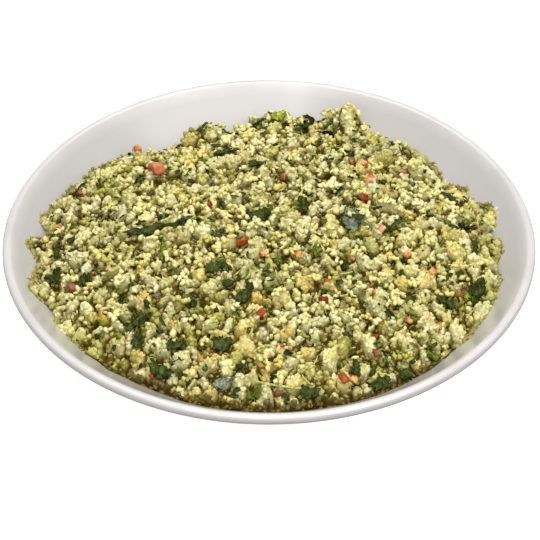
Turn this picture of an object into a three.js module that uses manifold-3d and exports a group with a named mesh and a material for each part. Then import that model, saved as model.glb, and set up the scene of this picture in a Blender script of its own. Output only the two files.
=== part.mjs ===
// Tabbouleh in a wide porcelain salad bowl, as a serving comes to the table: cooked couscous heaped above the
// rim, mixed with chopped parsley and mint and a little diced tomato.
// Millimetres, +Z up. The origin is the middle of the bowl's foot, on the table.
import * as THREE from "three";
import { mergeVertices } from "three/addons/utils/BufferGeometryUtils.js";
import Module from "manifold-3d";

const wasm = await Module();
wasm.setup();

// ---- Driving dimensions ----

const BOWL_RADIUS = 130;
const BOWL_HEIGHT = 60;
const WALL = 4;
const LIP = { halfWidth: 2.7, halfHeight: 2.5, neck: 6 }; // the rolled lip, and how far in its neck starts
// A turned foot ring round a recessed disc; its edges are eased
const FOOT = { inner: 45, outer: 51, recess: 2.5, innerEase: 2, outerEase: 1 };
const FLOOR_TOP = 7.5; // the inside of the bowl at its middle
const CURVE_POWER = 2.4; // the inside rises as this power of the radius
const BOWL_SIDES = 48;
const BOWL_STEPS = { outside: 4, lip: 10, inside: 9 };

const SEAT_GAP = 0.9; // the salad lies this far above the wall's curve, clear of its flat facets
// Where the salad meets the wall: its radius every 15 degrees, anticlockwise from +X
const EDGE_RADII = [
  116, 114, 108, 112.5, 112, 113, 112, 109, 105.5, 110.5, 112.5, 115,
  117.5, 115.5, 114.5, 112, 109, 112, 113, 114, 113.5, 112, 113, 115,
];
const BANK_RISE = 4.5; // the steep last few millimetres of the heap
const BANK_POWER = 18;
const DOME_RISE = 20; // from the top of the bank to the crown
const DOME_POWER = 2.5;

const CLUMP = { count: 330, radius: [5, 8.5], rise: [1.2, 3.8], jitter: 2.6, seed: 11 };
// The heap's biggest lumps: [x, y, radius, rise]
const BIG_LUMPS = [
  [40, 97, 13, 15],
  [8, 100, 9, 5],
  [70, 80, 9, 5],
  [-66, 78, 9, 4],
  [-95, 40, 8, 4],
  [-103, 28, 10, 4],
  [96, 52, 10, 4],
  [-78, -62, 10, 3],
  [72, -70, 10, 3],
];
const GRAIN_BUMP = 0.8; // grains stand proud of the core, or leave a pit, by up to this
const CORE_RINGS = 31;
const RING_JITTER = 0.4; // of the step from one vertex to the next
const CORE_SEED = 5;
const UNDERSIDE_RINGS = [ // [share of the edge's radius, vertices]
  [0.96, 84],
  [0.84, 60],
  [0.7, 48],
  [0.54, 36],
  [0.36, 24],
  [0.18, 12],
];

// Thickness, width and how far a dice stands up are shares of its size
const TOMATO = { thickness: 0.62, width: [0.6, 0.95], raised: 0.15, shear: [-0.25, 0.25], tip: 0.7 };
// The tomato dice that stand out: [x, y, size]
const TOMATO_PLACES = [
  [-56, 38, 6.6],
  [-67, 71, 4.4],
  [7, 32, 4],
  [28, 28, 4.4],
  [48, 42, 4.4],
  [51, 37, 4.6],
  [50, 30, 5.4],
  [47, 18, 4.4],
  [-104, 10, 4],
  [-92, 18, 4],
  [-94, -37, 4.9],
  [-79, -56, 4],
  [-13, -18, 5.9],
  [9, -22, 4],
  [26, -56, 4],
  [-4, -69, 6.3],
  [54, -8, 4],
  [66, -24, 4.5],
  [78, -34, 4],
  [90, -42, 5],
  [66, -62, 4],
  [50, -84, 4],
  [-4, -94, 4],
  [36, -99, 5],
];
const SMALL_TOMATO = { count: 8, size: [2.8, 4], spread: 0.84, jitter: 0.1, seed: 47 };
// The herb leaves that stand out: [x, y, length, width, turn in degrees]
const LEAF_PLACES = [
  [-59, -5, 22, 4, 13],
  [40, -1, 17, 8, -86],
  [30, 77, 10, 7, 24],
  [18, 86, 7, 6, 6],
  [8, 98, 9, 6, 42],
  [-19, 86, 9, 5, -15],
  [-24, 58, 8, 6, -5],
  [-6, 43, 8, 7, 14],
  [-5, 3, 11, 8, 7],
  [17, 8, 11, 6, -93],
  [60, -2, 12, 4, 45],
  [100, -34, 9, 6, 36],
  [100, -10, 10, 3, -96],
  [-103, -11, 12, 3, -88],
  [-104, -29, 8, 7, -23],
  [-63, -64, 9, 4, 43],
  [-61, -73, 9, 4, -86],
  [-51, -24, 11, 4, -90],
  [-26, -35, 9, 5, 16],
  [-21, -101, 9, 5, 0],
  [4, -103, 23, 2.6, -9],
  [40, -94, 8, 4, -90],
  [63, -89, 7, 5, 23],
];
// A leaf's edges wave this high, this many times along it, and hang below its middle by this share of its width
const LEAF = { thickness: 0.9, wave: 0.9, waves: 1.1, droop: 0.12, tip: 0.5, across: 2, stretch: 5 };
const SMALL_LEAF = { count: 6, length: [6, 9], width: [3, 4.5], spread: 0.86, jitter: 0.12, seed: 83 };

const GOLDEN_SHARE = (Math.sqrt(5) - 1) / 2;
const GOLDEN_ANGLE = 2 * Math.PI * (1 - GOLDEN_SHARE);

// ---- Helpers ----

// A seeded draw from 0 to 1, by Park and Miller's generator, so that every build is the same.
function seededDraw(seed) {
  const modulus = 2147483647;
  let state = seed;
  return () => {
    state = (state * 16807) % modulus;
    return state / modulus;
  };
}

const between = ([low, high], share) => low + (high - low) * share;

// Places spread evenly over a disc of radius 1, as a sunflower's seeds are, each moved a little.
function spreadOverDisc(count, jitter, draw) {
  return Array.from({ length: count }, (_, i) => {
    const distance = Math.sqrt((i + 0.5) / count);
    const angle = i * GOLDEN_ANGLE;
    return [
      distance * Math.cos(angle) + jitter * (draw() - 0.5),
      distance * Math.sin(angle) + jitter * (draw() - 0.5),
    ];
  });
}

// A closed mesh as a solid that can be joined.
function solidFrom(geometry) {
  const bare = geometry.clone();
  bare.deleteAttribute("normal");
  bare.deleteAttribute("uv");
  const merged = mergeVertices(bare, 1e-4);
  return new wasm.Manifold(
    new wasm.Mesh({
      numProp: 3,
      vertProperties: merged.attributes.position.array,
      triVerts: new Uint32Array(merged.index.array),
    }),
  );
}

function geometryFrom(solid) {
  const mesh = solid.getMesh();
  const geometry = new THREE.BufferGeometry();
  geometry.setAttribute("position", new THREE.BufferAttribute(mesh.vertProperties, 3));
  geometry.setIndex(new THREE.BufferAttribute(mesh.triVerts, 1));
  geometry.computeVertexNormals();
  return geometry;
}

// ---- The bowl: glazed porcelain, turned, with a rolled lip and a foot ring ----

const LIP_CENTRE = { r: BOWL_RADIUS - LIP.halfWidth, z: BOWL_HEIGHT - LIP.halfHeight };
const LIP_START = THREE.MathUtils.degToRad(135); // where the inside runs into the lip
const LIP_END = THREE.MathUtils.degToRad(-90); // where the lip runs into the outside

const lipPoint = (angle) =>
  new THREE.Vector2(
    LIP_CENTRE.r + LIP.halfWidth * Math.cos(angle),
    LIP_CENTRE.z + LIP.halfHeight * Math.sin(angle),
  );

const INSIDE_TOP = lipPoint(LIP_START);
const wallHeight = (r) =>
  FLOOR_TOP + (INSIDE_TOP.y - FLOOR_TOP) * Math.pow(Math.max(r, 0) / INSIDE_TOP.x, CURVE_POWER);

// A point of the inside curve moved straight out through the wall.
function throughWall(r, distance) {
  const slope = (CURVE_POWER * (wallHeight(r) - FLOOR_TOP)) / r;
  const length = Math.hypot(1, slope);
  return new THREE.Vector2(r + (distance * slope) / length, wallHeight(r) - distance / length);
}

function bowlGeometry() {
  const outline = [
    new THREE.Vector2(0, FOOT.recess),
    new THREE.Vector2(FOOT.inner - FOOT.innerEase, FOOT.recess),
    new THREE.Vector2(FOOT.inner, 0),
    new THREE.Vector2(FOOT.outer - FOOT.outerEase, 0),
    new THREE.Vector2(FOOT.outer, FOOT.outerEase),
  ];
  const outsideStart = FOOT.outer + FOOT.outerEase;
  const outsideEnd = LIP_CENTRE.r - LIP.neck;
  for (let i = 0; i <= BOWL_STEPS.outside; i++)
    outline.push(throughWall(between([outsideStart, outsideEnd], i / BOWL_STEPS.outside), WALL));
  for (let i = 0; i <= BOWL_STEPS.lip; i++)
    outline.push(lipPoint(between([LIP_END, LIP_START], i / BOWL_STEPS.lip)));
  for (let i = BOWL_STEPS.inside - 1; i >= 1; i--) {
    const r = INSIDE_TOP.x * (i / BOWL_STEPS.inside);
    outline.push(new THREE.Vector2(r, wallHeight(r)));
  }
  outline.push(new THREE.Vector2(0, FLOOR_TOP));
  const geometry = new THREE.LatheGeometry(outline, BOWL_SIDES);
  return geometryFrom(solidFrom(geometry.rotateX(Math.PI / 2)));
}

// ---- The heap: its outline, its dome and the clumps that the grains hold together in ----

const MEAN_EDGE = EDGE_RADII.reduce((sum, radius) => sum + radius, 0) / EDGE_RADII.length;

// The heap's edge is a smooth closed curve through its radii, a Catmull-Rom spline.
function edgeRadius(angle) {
  const count = EDGE_RADII.length;
  const turn = (angle / (2 * Math.PI)) * count + count;
  const first = Math.floor(turn);
  const part = turn - first;
  const [a, b, c, d] = [-1, 0, 1, 2].map((step) => EDGE_RADII[(first + step + count) % count]);
  return b + (part / 2) * (c - a + part * (2 * a - 5 * b + 4 * c - d + part * (3 * (b - c) + d - a)));
}

function clumpPlaces() {
  const draw = seededDraw(CLUMP.seed);
  const clumps = spreadOverDisc(CLUMP.count, 0, draw).map(([u, v]) => ({
    x: u * MEAN_EDGE + CLUMP.jitter * (2 * draw() - 1),
    y: v * MEAN_EDGE + CLUMP.jitter * (2 * draw() - 1),
    radius: between(CLUMP.radius, draw()),
    rise: between(CLUMP.rise, draw()),
  }));
  return clumps.concat(BIG_LUMPS.map(([x, y, radius, rise]) => ({ x, y, radius, rise })));
}

const CLUMPS = clumpPlaces();

// The rounded clumps meet in creases: the highest one counts.
function clumpRelief(x, y) {
  let relief = 0;
  for (const clump of CLUMPS) {
    const away = ((x - clump.x) ** 2 + (y - clump.y) ** 2) / clump.radius ** 2;
    if (away < 1) relief = Math.max(relief, clump.rise * Math.sqrt(1 - away));
  }
  return relief;
}

const seatHeight = (radius) => wallHeight(radius) + SEAT_GAP;

// The top of the heap at a place, which comes down to its seat on the wall at the heap's edge.
function heapHeight(x, y) {
  const radius = Math.hypot(x, y);
  const edge = edgeRadius(Math.atan2(y, x));
  const share = Math.min(radius / edge, 1);
  const fade = 1 - share ** BANK_POWER;
  const meanSeat = seatHeight(MEAN_EDGE);
  return (
    meanSeat +
    (seatHeight(edge) - meanSeat) * share ** 2 +
    BANK_RISE * fade +
    DOME_RISE * (1 - share ** DOME_POWER) +
    clumpRelief(x, y) * fade
  );
}

function heapNormal(x, y) {
  const step = 1.5; // smooths over the creases
  return new THREE.Vector3(
    heapHeight(x - step, y) - heapHeight(x + step, y),
    heapHeight(x, y - step) - heapHeight(x, y + step),
    2 * step,
  ).normalize();
}

// Joins an inner and an outer ring of vertices into a band of triangles that face up.
// A ring is { first: its first vertex's number, count, phase: its first vertex's turn, in steps }.
function band(inner, outer, triangles) {
  let a = 0;
  let b = 0;
  while (a < inner.count || b < outer.count) {
    const nextA = (a + 1 + inner.phase) / inner.count;
    const nextB = (b + 1 + outer.phase) / outer.count;
    const vertexA = inner.first + (a % inner.count);
    const vertexB = outer.first + (b % outer.count);
    if (b >= outer.count || (a < inner.count && nextA < nextB)) {
      triangles.push(vertexA, vertexB, inner.first + ((a + 1) % inner.count));
      a++;
    } else {
      triangles.push(vertexA, vertexB, outer.first + ((b + 1) % outer.count));
      b++;
    }
  }
}

// The core: the heap's bumpy top in rings round its middle, and an underside that lies in the bowl.
function coreSolid() {
  const draw = seededDraw(CORE_SEED);
  const positions = [0, 0, heapHeight(0, 0)];
  const triangles = [];
  const rings = [];
  for (let k = 1; k <= CORE_RINGS; k++) {
    const ring = { first: positions.length / 3, count: 6 * k, phase: (k * GOLDEN_SHARE) % 1 };
    const loose = k < CORE_RINGS ? 1 : 0; // the outermost ring keeps to the wall
    for (let i = 0; i < ring.count; i++) {
      const shift = loose * RING_JITTER * (draw() - 0.5);
      const angle = ((i + ring.phase + shift) * 2 * Math.PI) / ring.count;
      const share = (k + loose * RING_JITTER * (draw() - 0.5)) / CORE_RINGS;
      const radius = share * edgeRadius(angle);
      const [x, y] = [radius * Math.cos(angle), radius * Math.sin(angle)];
      const bump = loose * GRAIN_BUMP * (2 * draw() - 1);
      positions.push(x, y, heapHeight(x, y) + bump);
    }
    rings.push(ring);
  }
  for (let i = 0; i < 6; i++) triangles.push(0, 1 + i, 1 + ((i + 1) % 6));
  for (let k = 1; k < CORE_RINGS; k++) band(rings[k - 1], rings[k], triangles);

  const underside = [];
  let outer = rings[CORE_RINGS - 1];
  for (const [share, count] of UNDERSIDE_RINGS) {
    const ring = { first: positions.length / 3, count, phase: 0 };
    for (let i = 0; i < count; i++) {
      const angle = (i * 2 * Math.PI) / count;
      const radius = share * edgeRadius(angle);
      positions.push(radius * Math.cos(angle), radius * Math.sin(angle), seatHeight(radius));
    }
    band(ring, outer, underside);
    outer = ring;
  }
  const middle = positions.length / 3;
  positions.push(0, 0, seatHeight(0));
  for (let i = 0; i < outer.count; i++)
    underside.push(middle, outer.first + i, outer.first + ((i + 1) % outer.count));
  for (let i = 0; i < underside.length; i += 3)
    triangles.push(underside[i], underside[i + 2], underside[i + 1]);

  const geometry = new THREE.BufferGeometry();
  geometry.setAttribute("position", new THREE.Float32BufferAttribute(positions, 3));
  geometry.setIndex(triangles);
  return solidFrom(geometry);
}

// ---- The pieces that show on the heap ----

// Lays a piece, modelled flat round its own middle, on the heap: turned, tipped and raised off the surface.
function laidOnHeap(geometry, x, y, turn, tip, lift) {
  const normal = heapNormal(x, y);
  const upright = new THREE.Quaternion().setFromUnitVectors(new THREE.Vector3(0, 0, 1), normal);
  const turned = new THREE.Quaternion().setFromEuler(new THREE.Euler(tip, tip / 2, turn, "ZYX"));
  const place = new THREE.Vector3(x, y, heapHeight(x, y)).addScaledVector(normal, lift);
  const pose = new THREE.Matrix4().compose(place, upright.multiply(turned), new THREE.Vector3(1, 1, 1));
  return solidFrom(geometry.applyMatrix4(pose));
}

// A diced piece of tomato: a slab of flesh, cut a little out of square.
function diceGeometry(size, draw) {
  const slab = new THREE.BoxGeometry(size, size * between(TOMATO.width, draw()), size * TOMATO.thickness);
  const [shearX, shearY] = [between(TOMATO.shear, draw()), between(TOMATO.shear, draw())];
  return slab.applyMatrix4(new THREE.Matrix4().makeShear(shearX, 0, shearY, 0, 0, 0));
}

// A chopped leaf: thin, wavy and pointed, both faces split into triangles alike.
function leafGeometry(length, width, draw) {
  const across = LEAF.across;
  const along = Math.max(3, Math.round(length / LEAF.stretch));
  const phase = 2 * Math.PI * draw();
  const positions = [];
  for (const face of [1, -1])
    for (let i = 0; i <= along; i++)
      for (let j = 0; j <= across; j++) {
        const u = i / along;
        const v = (2 * j) / across - 1; // -1 and 1 at the leaf's edges
        const halfWidth = (width / 2) * Math.sin(Math.PI * between([0.1, 0.93], u));
        const wave = LEAF.wave * Math.sin(2 * Math.PI * LEAF.waves * u + phase) * (1 + Math.abs(v));
        const height = wave / 2 - LEAF.droop * width * v * v;
        positions.push((u - 0.5) * length, v * halfWidth, height + (face * LEAF.thickness) / 2);
      }

  const triangles = [];
  const quad = (a, b, c, d) => triangles.push(a, b, c, a, c, d);
  const facePoints = (along + 1) * (across + 1);
  const top = (i, j) => i * (across + 1) + j;
  const under = (i, j) => facePoints + top(i, j);
  for (let i = 0; i < along; i++)
    for (let j = 0; j < across; j++) {
      quad(top(i, j), top(i + 1, j), top(i + 1, j + 1), top(i, j + 1));
      triangles.push(under(i, j), under(i + 1, j + 1), under(i + 1, j));
      triangles.push(under(i, j), under(i, j + 1), under(i + 1, j + 1));
    }
  const rim = [];
  for (let i = 0; i < along; i++) rim.push([i, 0]);
  for (let j = 0; j < across; j++) rim.push([along, j]);
  for (let i = along; i > 0; i--) rim.push([i, across]);
  for (let j = across; j > 0; j--) rim.push([0, j]);
  rim.forEach((from, n) => {
    const to = rim[(n + 1) % rim.length];
    quad(under(...from), under(...to), top(...to), top(...from));
  });

  const geometry = new THREE.BufferGeometry();
  geometry.setAttribute("position", new THREE.Float32BufferAttribute(positions, 3));
  geometry.setIndex(triangles);
  return geometry;
}

function tomatoDice() {
  const draw = seededDraw(SMALL_TOMATO.seed);
  const small = spreadOverDisc(SMALL_TOMATO.count, SMALL_TOMATO.jitter, draw).map(([u, v]) => [
    u * MEAN_EDGE * SMALL_TOMATO.spread,
    v * MEAN_EDGE * SMALL_TOMATO.spread,
    between(SMALL_TOMATO.size, draw()),
  ]);
  return TOMATO_PLACES.concat(small).map(([x, y, size]) => {
    const [turn, tip] = [2 * Math.PI * draw(), TOMATO.tip * (draw() - 0.5)];
    return laidOnHeap(diceGeometry(size, draw), x, y, turn, tip, TOMATO.raised * size);
  });
}

function herbLeaves() {
  const draw = seededDraw(SMALL_LEAF.seed);
  const small = spreadOverDisc(SMALL_LEAF.count, SMALL_LEAF.jitter, draw).map(([u, v]) => [
    u * MEAN_EDGE * SMALL_LEAF.spread,
    v * MEAN_EDGE * SMALL_LEAF.spread,
    between(SMALL_LEAF.length, draw()),
    between(SMALL_LEAF.width, draw()),
    360 * draw(),
  ]);
  return LEAF_PLACES.concat(small).map(([x, y, length, width, degrees]) => {
    const [turn, tip] = [THREE.MathUtils.degToRad(degrees), LEAF.tip * (draw() - 0.5)];
    return laidOnHeap(leafGeometry(length, width, draw), x, y, turn, tip, LEAF.thickness / 2);
  });
}

// Everything joined into one body, without any scrap that touches nothing.
function saladGeometry() {
  const pieces = [...herbLeaves(), ...tomatoDice()];
  const joined = pieces.reduce((heap, piece) => heap.add(piece), coreSolid());
  const largest = joined.decompose().reduce((a, b) => (b.volume() > a.volume() ? b : a));
  return geometryFrom(largest);
}

// ---- The part ----

const porcelain = new THREE.MeshStandardMaterial({ color: 0xeeecea, roughness: 0.18, metalness: 0 });
const saladMix = new THREE.MeshStandardMaterial({ color: 0xcfc27c, roughness: 0.6, metalness: 0 });

function namedMesh(name, geometry, material) {
  const mesh = new THREE.Mesh(geometry, material);
  mesh.name = name;
  return mesh;
}

const tabbouleh = new THREE.Group();
tabbouleh.add(namedMesh("bowl", bowlGeometry(), porcelain));
tabbouleh.add(namedMesh("salad", saladGeometry(), saladMix));

export default tabbouleh;
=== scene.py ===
import math

import bpy
import numpy as np
from mathutils import Matrix, Vector
from mathutils.bvhtree import BVHTree


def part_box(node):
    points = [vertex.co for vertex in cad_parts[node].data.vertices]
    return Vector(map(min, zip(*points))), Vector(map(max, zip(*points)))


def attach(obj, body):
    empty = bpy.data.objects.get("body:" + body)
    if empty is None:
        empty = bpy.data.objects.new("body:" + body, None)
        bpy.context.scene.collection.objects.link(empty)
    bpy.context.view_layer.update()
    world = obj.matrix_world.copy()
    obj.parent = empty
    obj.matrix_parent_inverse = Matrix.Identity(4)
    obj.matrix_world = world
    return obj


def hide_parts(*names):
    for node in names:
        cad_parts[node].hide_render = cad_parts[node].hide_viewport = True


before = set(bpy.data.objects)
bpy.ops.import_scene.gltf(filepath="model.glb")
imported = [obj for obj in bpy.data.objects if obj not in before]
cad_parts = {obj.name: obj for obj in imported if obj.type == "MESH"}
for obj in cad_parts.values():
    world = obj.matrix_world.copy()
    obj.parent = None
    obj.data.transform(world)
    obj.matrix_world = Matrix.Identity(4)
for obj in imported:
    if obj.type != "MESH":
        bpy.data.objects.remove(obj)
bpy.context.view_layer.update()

MM = 0.001

# ---- Camera ----
# A long lens looks down on the bowl from the front, so that the round rim shows as a nearly even ellipse.

CAMERA_DISTANCE = 1200 * MM
CAMERA_ELEVATION = math.radians(40.36)
CAMERA_TARGET = Vector((0.5, -15.1, 50)) * MM
CAMERA_LENS = 164.5  # for a sensor 36 mm wide

camera = bpy.data.objects.new("camera", bpy.data.cameras.new("camera"))
bpy.context.scene.collection.objects.link(camera)
toward_camera = Vector((0, -math.cos(CAMERA_ELEVATION), math.sin(CAMERA_ELEVATION)))
camera.location = CAMERA_TARGET + toward_camera * CAMERA_DISTANCE
camera.rotation_euler = toward_camera.to_track_quat("Z", "Y").to_euler()
camera.data.lens = CAMERA_LENS
camera.data.clip_start = 0.05
bpy.context.scene.camera = camera
bpy.context.scene.view_settings.view_transform = "Standard"
bpy.context.scene.view_settings.look = "Medium High Contrast"

# ---- Floor and light ----
# A product table with a white sheet, lit from underneath so that shadows hardly show on it. One big soft box
# hangs over the bowl and a little behind it, a fill stands in front, and tall white panels show in the glaze.


def linear(code):
    """The linear colour of an sRGB hex value such as "f4e8c0"."""
    parts = [int(code[i:i + 2], 16) / 255 for i in (0, 2, 4)]
    return (*(c / 12.92 if c <= 0.04045 else ((c + 0.055) / 1.055) ** 2.4 for c in parts), 1.0)


def add_node(tree, kind, settings=None, links=None):
    """Adds a node to a tree. settings are its properties and unlinked inputs, and links its linked inputs."""
    node = tree.nodes.new(kind)
    for name, value in (settings or {}).items():
        if isinstance(name, str) and hasattr(node, name):
            setattr(node, name, value)
        else:
            node.inputs[name].default_value = value
    for name, source in (links or {}).items():
        tree.links.new(source, node.inputs[name])
    return node


def new_material(name):
    """An empty node material, and its tree."""
    material = bpy.data.materials.new(name)
    material.use_nodes = True
    material.node_tree.nodes.clear()
    return material, material.node_tree


def finish_material(tree, settings, links):
    """Ends a material with the glossy-on-diffuse surface that every finish here is."""
    surface = add_node(tree, "ShaderNodeBsdfPrincipled", settings, links)
    add_node(tree, "ShaderNodeOutputMaterial", links={"Surface": surface.outputs["BSDF"]})


FLOOR_SIZE = 8.0
FLOOR_DROP = 0.2 * MM  # the bowl's foot stands just clear of it
FLOOR_CLOUDS = 0.2  # metres between the faint clouds in its white

# Opal acrylic sheet with a lamp under it: matt, plain white, and a little bright of itself.
floor_material, tree = new_material("back_lit_opal_acrylic")
clouds = add_node(tree, "ShaderNodeTexNoise", {"Scale": FLOOR_SIZE / FLOOR_CLOUDS, "Detail": 4.0})
shade = add_node(
    tree, "ShaderNodeMix", {"data_type": "RGBA", 6: linear("f3f2f1"), 7: linear("f8f7f6")},
    {0: clouds.outputs["Fac"]},
)
finish_material(
    tree, {"Roughness": 0.9, "Emission Strength": 0.42},
    {"Base Color": shade.outputs[2], "Emission Color": shade.outputs[2]},
)

corner = FLOOR_SIZE / 2
floor_mesh = bpy.data.meshes.new("floor")
floor_mesh.from_pydata(
    [(x * corner, y * corner, -FLOOR_DROP) for x, y in ((-1, -1), (1, -1), (1, 1), (-1, 1))],
    [],
    [(0, 1, 2, 3)],
)
floor_mesh.materials.append(floor_material)
floor = bpy.data.objects.new("floor", floor_mesh)
bpy.context.scene.collection.objects.link(floor)

# Each lamp: its bearing from the front towards the right and its height in degrees, how far off it is, its
# width and height in metres, its power in watts, and its colour
LAMPS = {
    "soft_box": (185, 79, 1.5, 1.5, 1.3, 16.9, "fffdfb"),
    "fill": (15, 45, 1.7, 2.0, 1.2, 14.4, "fffcfb"),
}
# Upright panels that only the gloss catches: the bearings of their two sides in degrees, and their power in
# watts
PANELS = {
    "panel_right": (-14, 76, 50.0),
    "panel_bright": (-21, -12, 7.5),
    "panel_left": (-44, -14, 9.0),
}
PANEL_AWAY, PANEL_LOW, PANEL_HIGH = 1.2, 0.4, 4.0  # metres
WORLD_COLOUR = "faf8f6"
WORLD_STRENGTH = 0.33


def new_light(name, place, turned, width, height, power, colour):
    """An area light. turned is the way that its back faces."""
    light = bpy.data.lights.new(name, "AREA")
    light.shape = "RECTANGLE"
    light.size, light.size_y = width, height
    light.energy = power
    light.color = linear(colour)[:3]
    lamp = bpy.data.objects.new(name, light)
    bpy.context.scene.collection.objects.link(lamp)
    lamp.location = place
    lamp.rotation_euler = turned.to_track_quat("Z", "Y").to_euler()
    return lamp


for name, (bearing, height, distance, width, depth, power, colour) in LAMPS.items():
    turn, rise = math.radians(bearing), math.radians(height)
    toward = Vector((math.sin(turn) * math.cos(rise), -math.cos(turn) * math.cos(rise), math.sin(rise)))
    lamp = new_light(name, toward * distance, toward, width, depth, power, colour)
    lamp.visible_glossy = name == "soft_box"

for name, (first, last, power) in PANELS.items():
    turn, half = math.radians((first + last) / 2), math.radians((last - first) / 2)
    toward = Vector((math.sin(turn), -math.cos(turn), 0))
    middle = toward * PANEL_AWAY + Vector((0, 0, (PANEL_LOW + PANEL_HIGH) / 2))
    width = 2 * PANEL_AWAY * math.tan(half)
    lamp = new_light(name, middle, toward, width, PANEL_HIGH - PANEL_LOW, power, "fffdfc")
    lamp.visible_diffuse = False

world = bpy.data.worlds.new("studio")
bpy.context.scene.world = world
world.use_nodes = True
world.node_tree.nodes.clear()
sky = add_node(
    world.node_tree, "ShaderNodeBackground", {"Color": linear(WORLD_COLOUR), "Strength": WORLD_STRENGTH}
)
add_node(world.node_tree, "ShaderNodeOutputWorld", links={"Surface": sky.outputs["Background"]})

# ---- Bowl ----
# A wide, shallow salad bowl of hard-paste porcelain, jiggered on a turning mould, with a rolled lip and a
# turned foot ring. It is dipped in clear glaze, and the foot ring's underside is wiped bare, so that it
# doesn't stick to the kiln shelf.

bowl_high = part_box("bowl")[1]
RIM_RADIUS, RIM_HEIGHT = bowl_high.x, bowl_high.z
WALL = 4 * MM  # its thickness
LIP_HALF_WIDTH, LIP_HALF_HEIGHT = 2.7 * MM, 2.5 * MM
LIP_ARC = (-100, 135)  # degrees from the rim's outermost point, where the lip's round begins and ends
LIP_NECK = 6 * MM  # how far inside the lip's middle the wall's own outside ends
FOOT_INNER, FOOT_OUTER, FOOT_HEIGHT, FOOT_RECESS = 45 * MM, 51 * MM, 2.2 * MM, 2.5 * MM
FOOT_EDGE = 0.8 * MM  # the radius of the ring's edges
FOOT_SLOPE = 3 * MM  # how wide the slope inside the ring is
FOOT_FLARE, FOOT_FILLET = 0.2 * MM, 2 * MM  # how far the ring leans out, and how wide its fillet is
FLOOR_TOP = 7.5 * MM  # the height of the inside in the middle
CURVE_POWER = 2.4  # 2 is a parabola, and more is flatter in the middle
BOWL_SEGMENTS = 256
LIP_SHADE_FROM, LIP_SHADE_TO = 0.7 * MM, 4.2 * MM  # under the rim, where the painted shade down the lip's outer side starts and is darkest
# Of the glaze: its white, the painted light towards the lip, and the painted shade down the lip's outer side
GLAZE_WHITE, GLAZE_LIP_LIGHT, LIP_SHADE_GREY = "bebdbd", "d9d7d7", "68615c"
BISQUE, BISQUE_DARK = "d9d2c6", "c9c0b2"

lip_centre = np.array([RIM_RADIUS - LIP_HALF_WIDTH, RIM_HEIGHT - LIP_HALF_HEIGHT])


def arc(centre, half_width, half_height, start, end, steps):
    """Points of an elliptic arc in the profile plane, from one angle to another in degrees."""
    angles = np.radians(np.linspace(start, end, steps + 1))
    return np.stack(
        [centre[0] + half_width * np.cos(angles), centre[1] + half_height * np.sin(angles)], axis=1
    )


lip = arc(lip_centre, LIP_HALF_WIDTH, LIP_HALF_HEIGHT, *LIP_ARC, 26)
inside_top = lip[-1]


def wall_height(radius):
    """The height of the bowl's inside at a radius."""
    share = np.maximum(radius, 0) / inside_top[0]
    return FLOOR_TOP + (inside_top[1] - FLOOR_TOP) * share ** CURVE_POWER


def through_wall(radius):
    """Points of the outside: the inside's, moved square through the wall."""
    slope = CURVE_POWER * (wall_height(radius) - FLOOR_TOP) / radius
    length = np.hypot(1, slope)
    return np.stack([radius + WALL * slope / length, wall_height(radius) - WALL / length], axis=1)


outside = through_wall(np.linspace(FOOT_OUTER + FOOT_FILLET, lip_centre[0] - LIP_NECK, 30))
inside_radii = np.linspace(inside_top[0], 0, 60)[1:]
inside = np.stack([inside_radii, wall_height(inside_radii)], axis=1)
foot = np.concatenate([
    [[0, FOOT_RECESS], [FOOT_INNER - 2 * FOOT_SLOPE, FOOT_RECESS]],
    arc((FOOT_INNER - FOOT_SLOPE, FOOT_RECESS - FOOT_EDGE), FOOT_EDGE, FOOT_EDGE, 90, 20, 4),
    arc((FOOT_INNER + FOOT_EDGE, FOOT_EDGE), FOOT_EDGE, FOOT_EDGE, 200, 270, 5),
    arc((FOOT_OUTER - FOOT_EDGE, FOOT_EDGE), FOOT_EDGE, FOOT_EDGE, 270, 360, 6),
    [[FOOT_OUTER + FOOT_FLARE, FOOT_HEIGHT]],
])
profile = np.concatenate([foot, outside, lip, inside])


def turned_mesh(name, outline, segments):
    """A closed mesh turned about Z from a profile that starts and ends on the axis."""
    ring = outline[1:-1]
    angles = np.arange(segments) * 2 * math.pi / segments
    points = np.stack([
        np.outer(np.cos(angles), ring[:, 0]),
        np.outer(np.sin(angles), ring[:, 0]),
        np.tile(ring[:, 1], (segments, 1)),
    ], axis=-1).reshape(-1, 3)
    count = len(ring)
    low, high = len(points), len(points) + 1
    points = np.concatenate([points, [[0, 0, outline[0, 1]], [0, 0, outline[-1, 1]]]])
    faces = []
    for i in range(segments):
        here, there = i * count, (i + 1) % segments * count
        faces.append((low, there, here))
        faces += [(here + k, there + k, there + k + 1, here + k + 1) for k in range(count - 1)]
        faces.append((high, here + count - 1, there + count - 1))
    mesh = bpy.data.meshes.new(name)
    mesh.from_pydata(points.tolist(), [], faces)
    mesh.shade_smooth()
    return mesh


def new_piece(mesh, materials):
    """Puts a mesh in the scene under its own name, riding on the part's one body."""
    for material in materials:
        mesh.materials.append(material)
    piece = bpy.data.objects.new(mesh.name, mesh)
    bpy.context.scene.collection.objects.link(piece)
    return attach(piece, "root")
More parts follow.
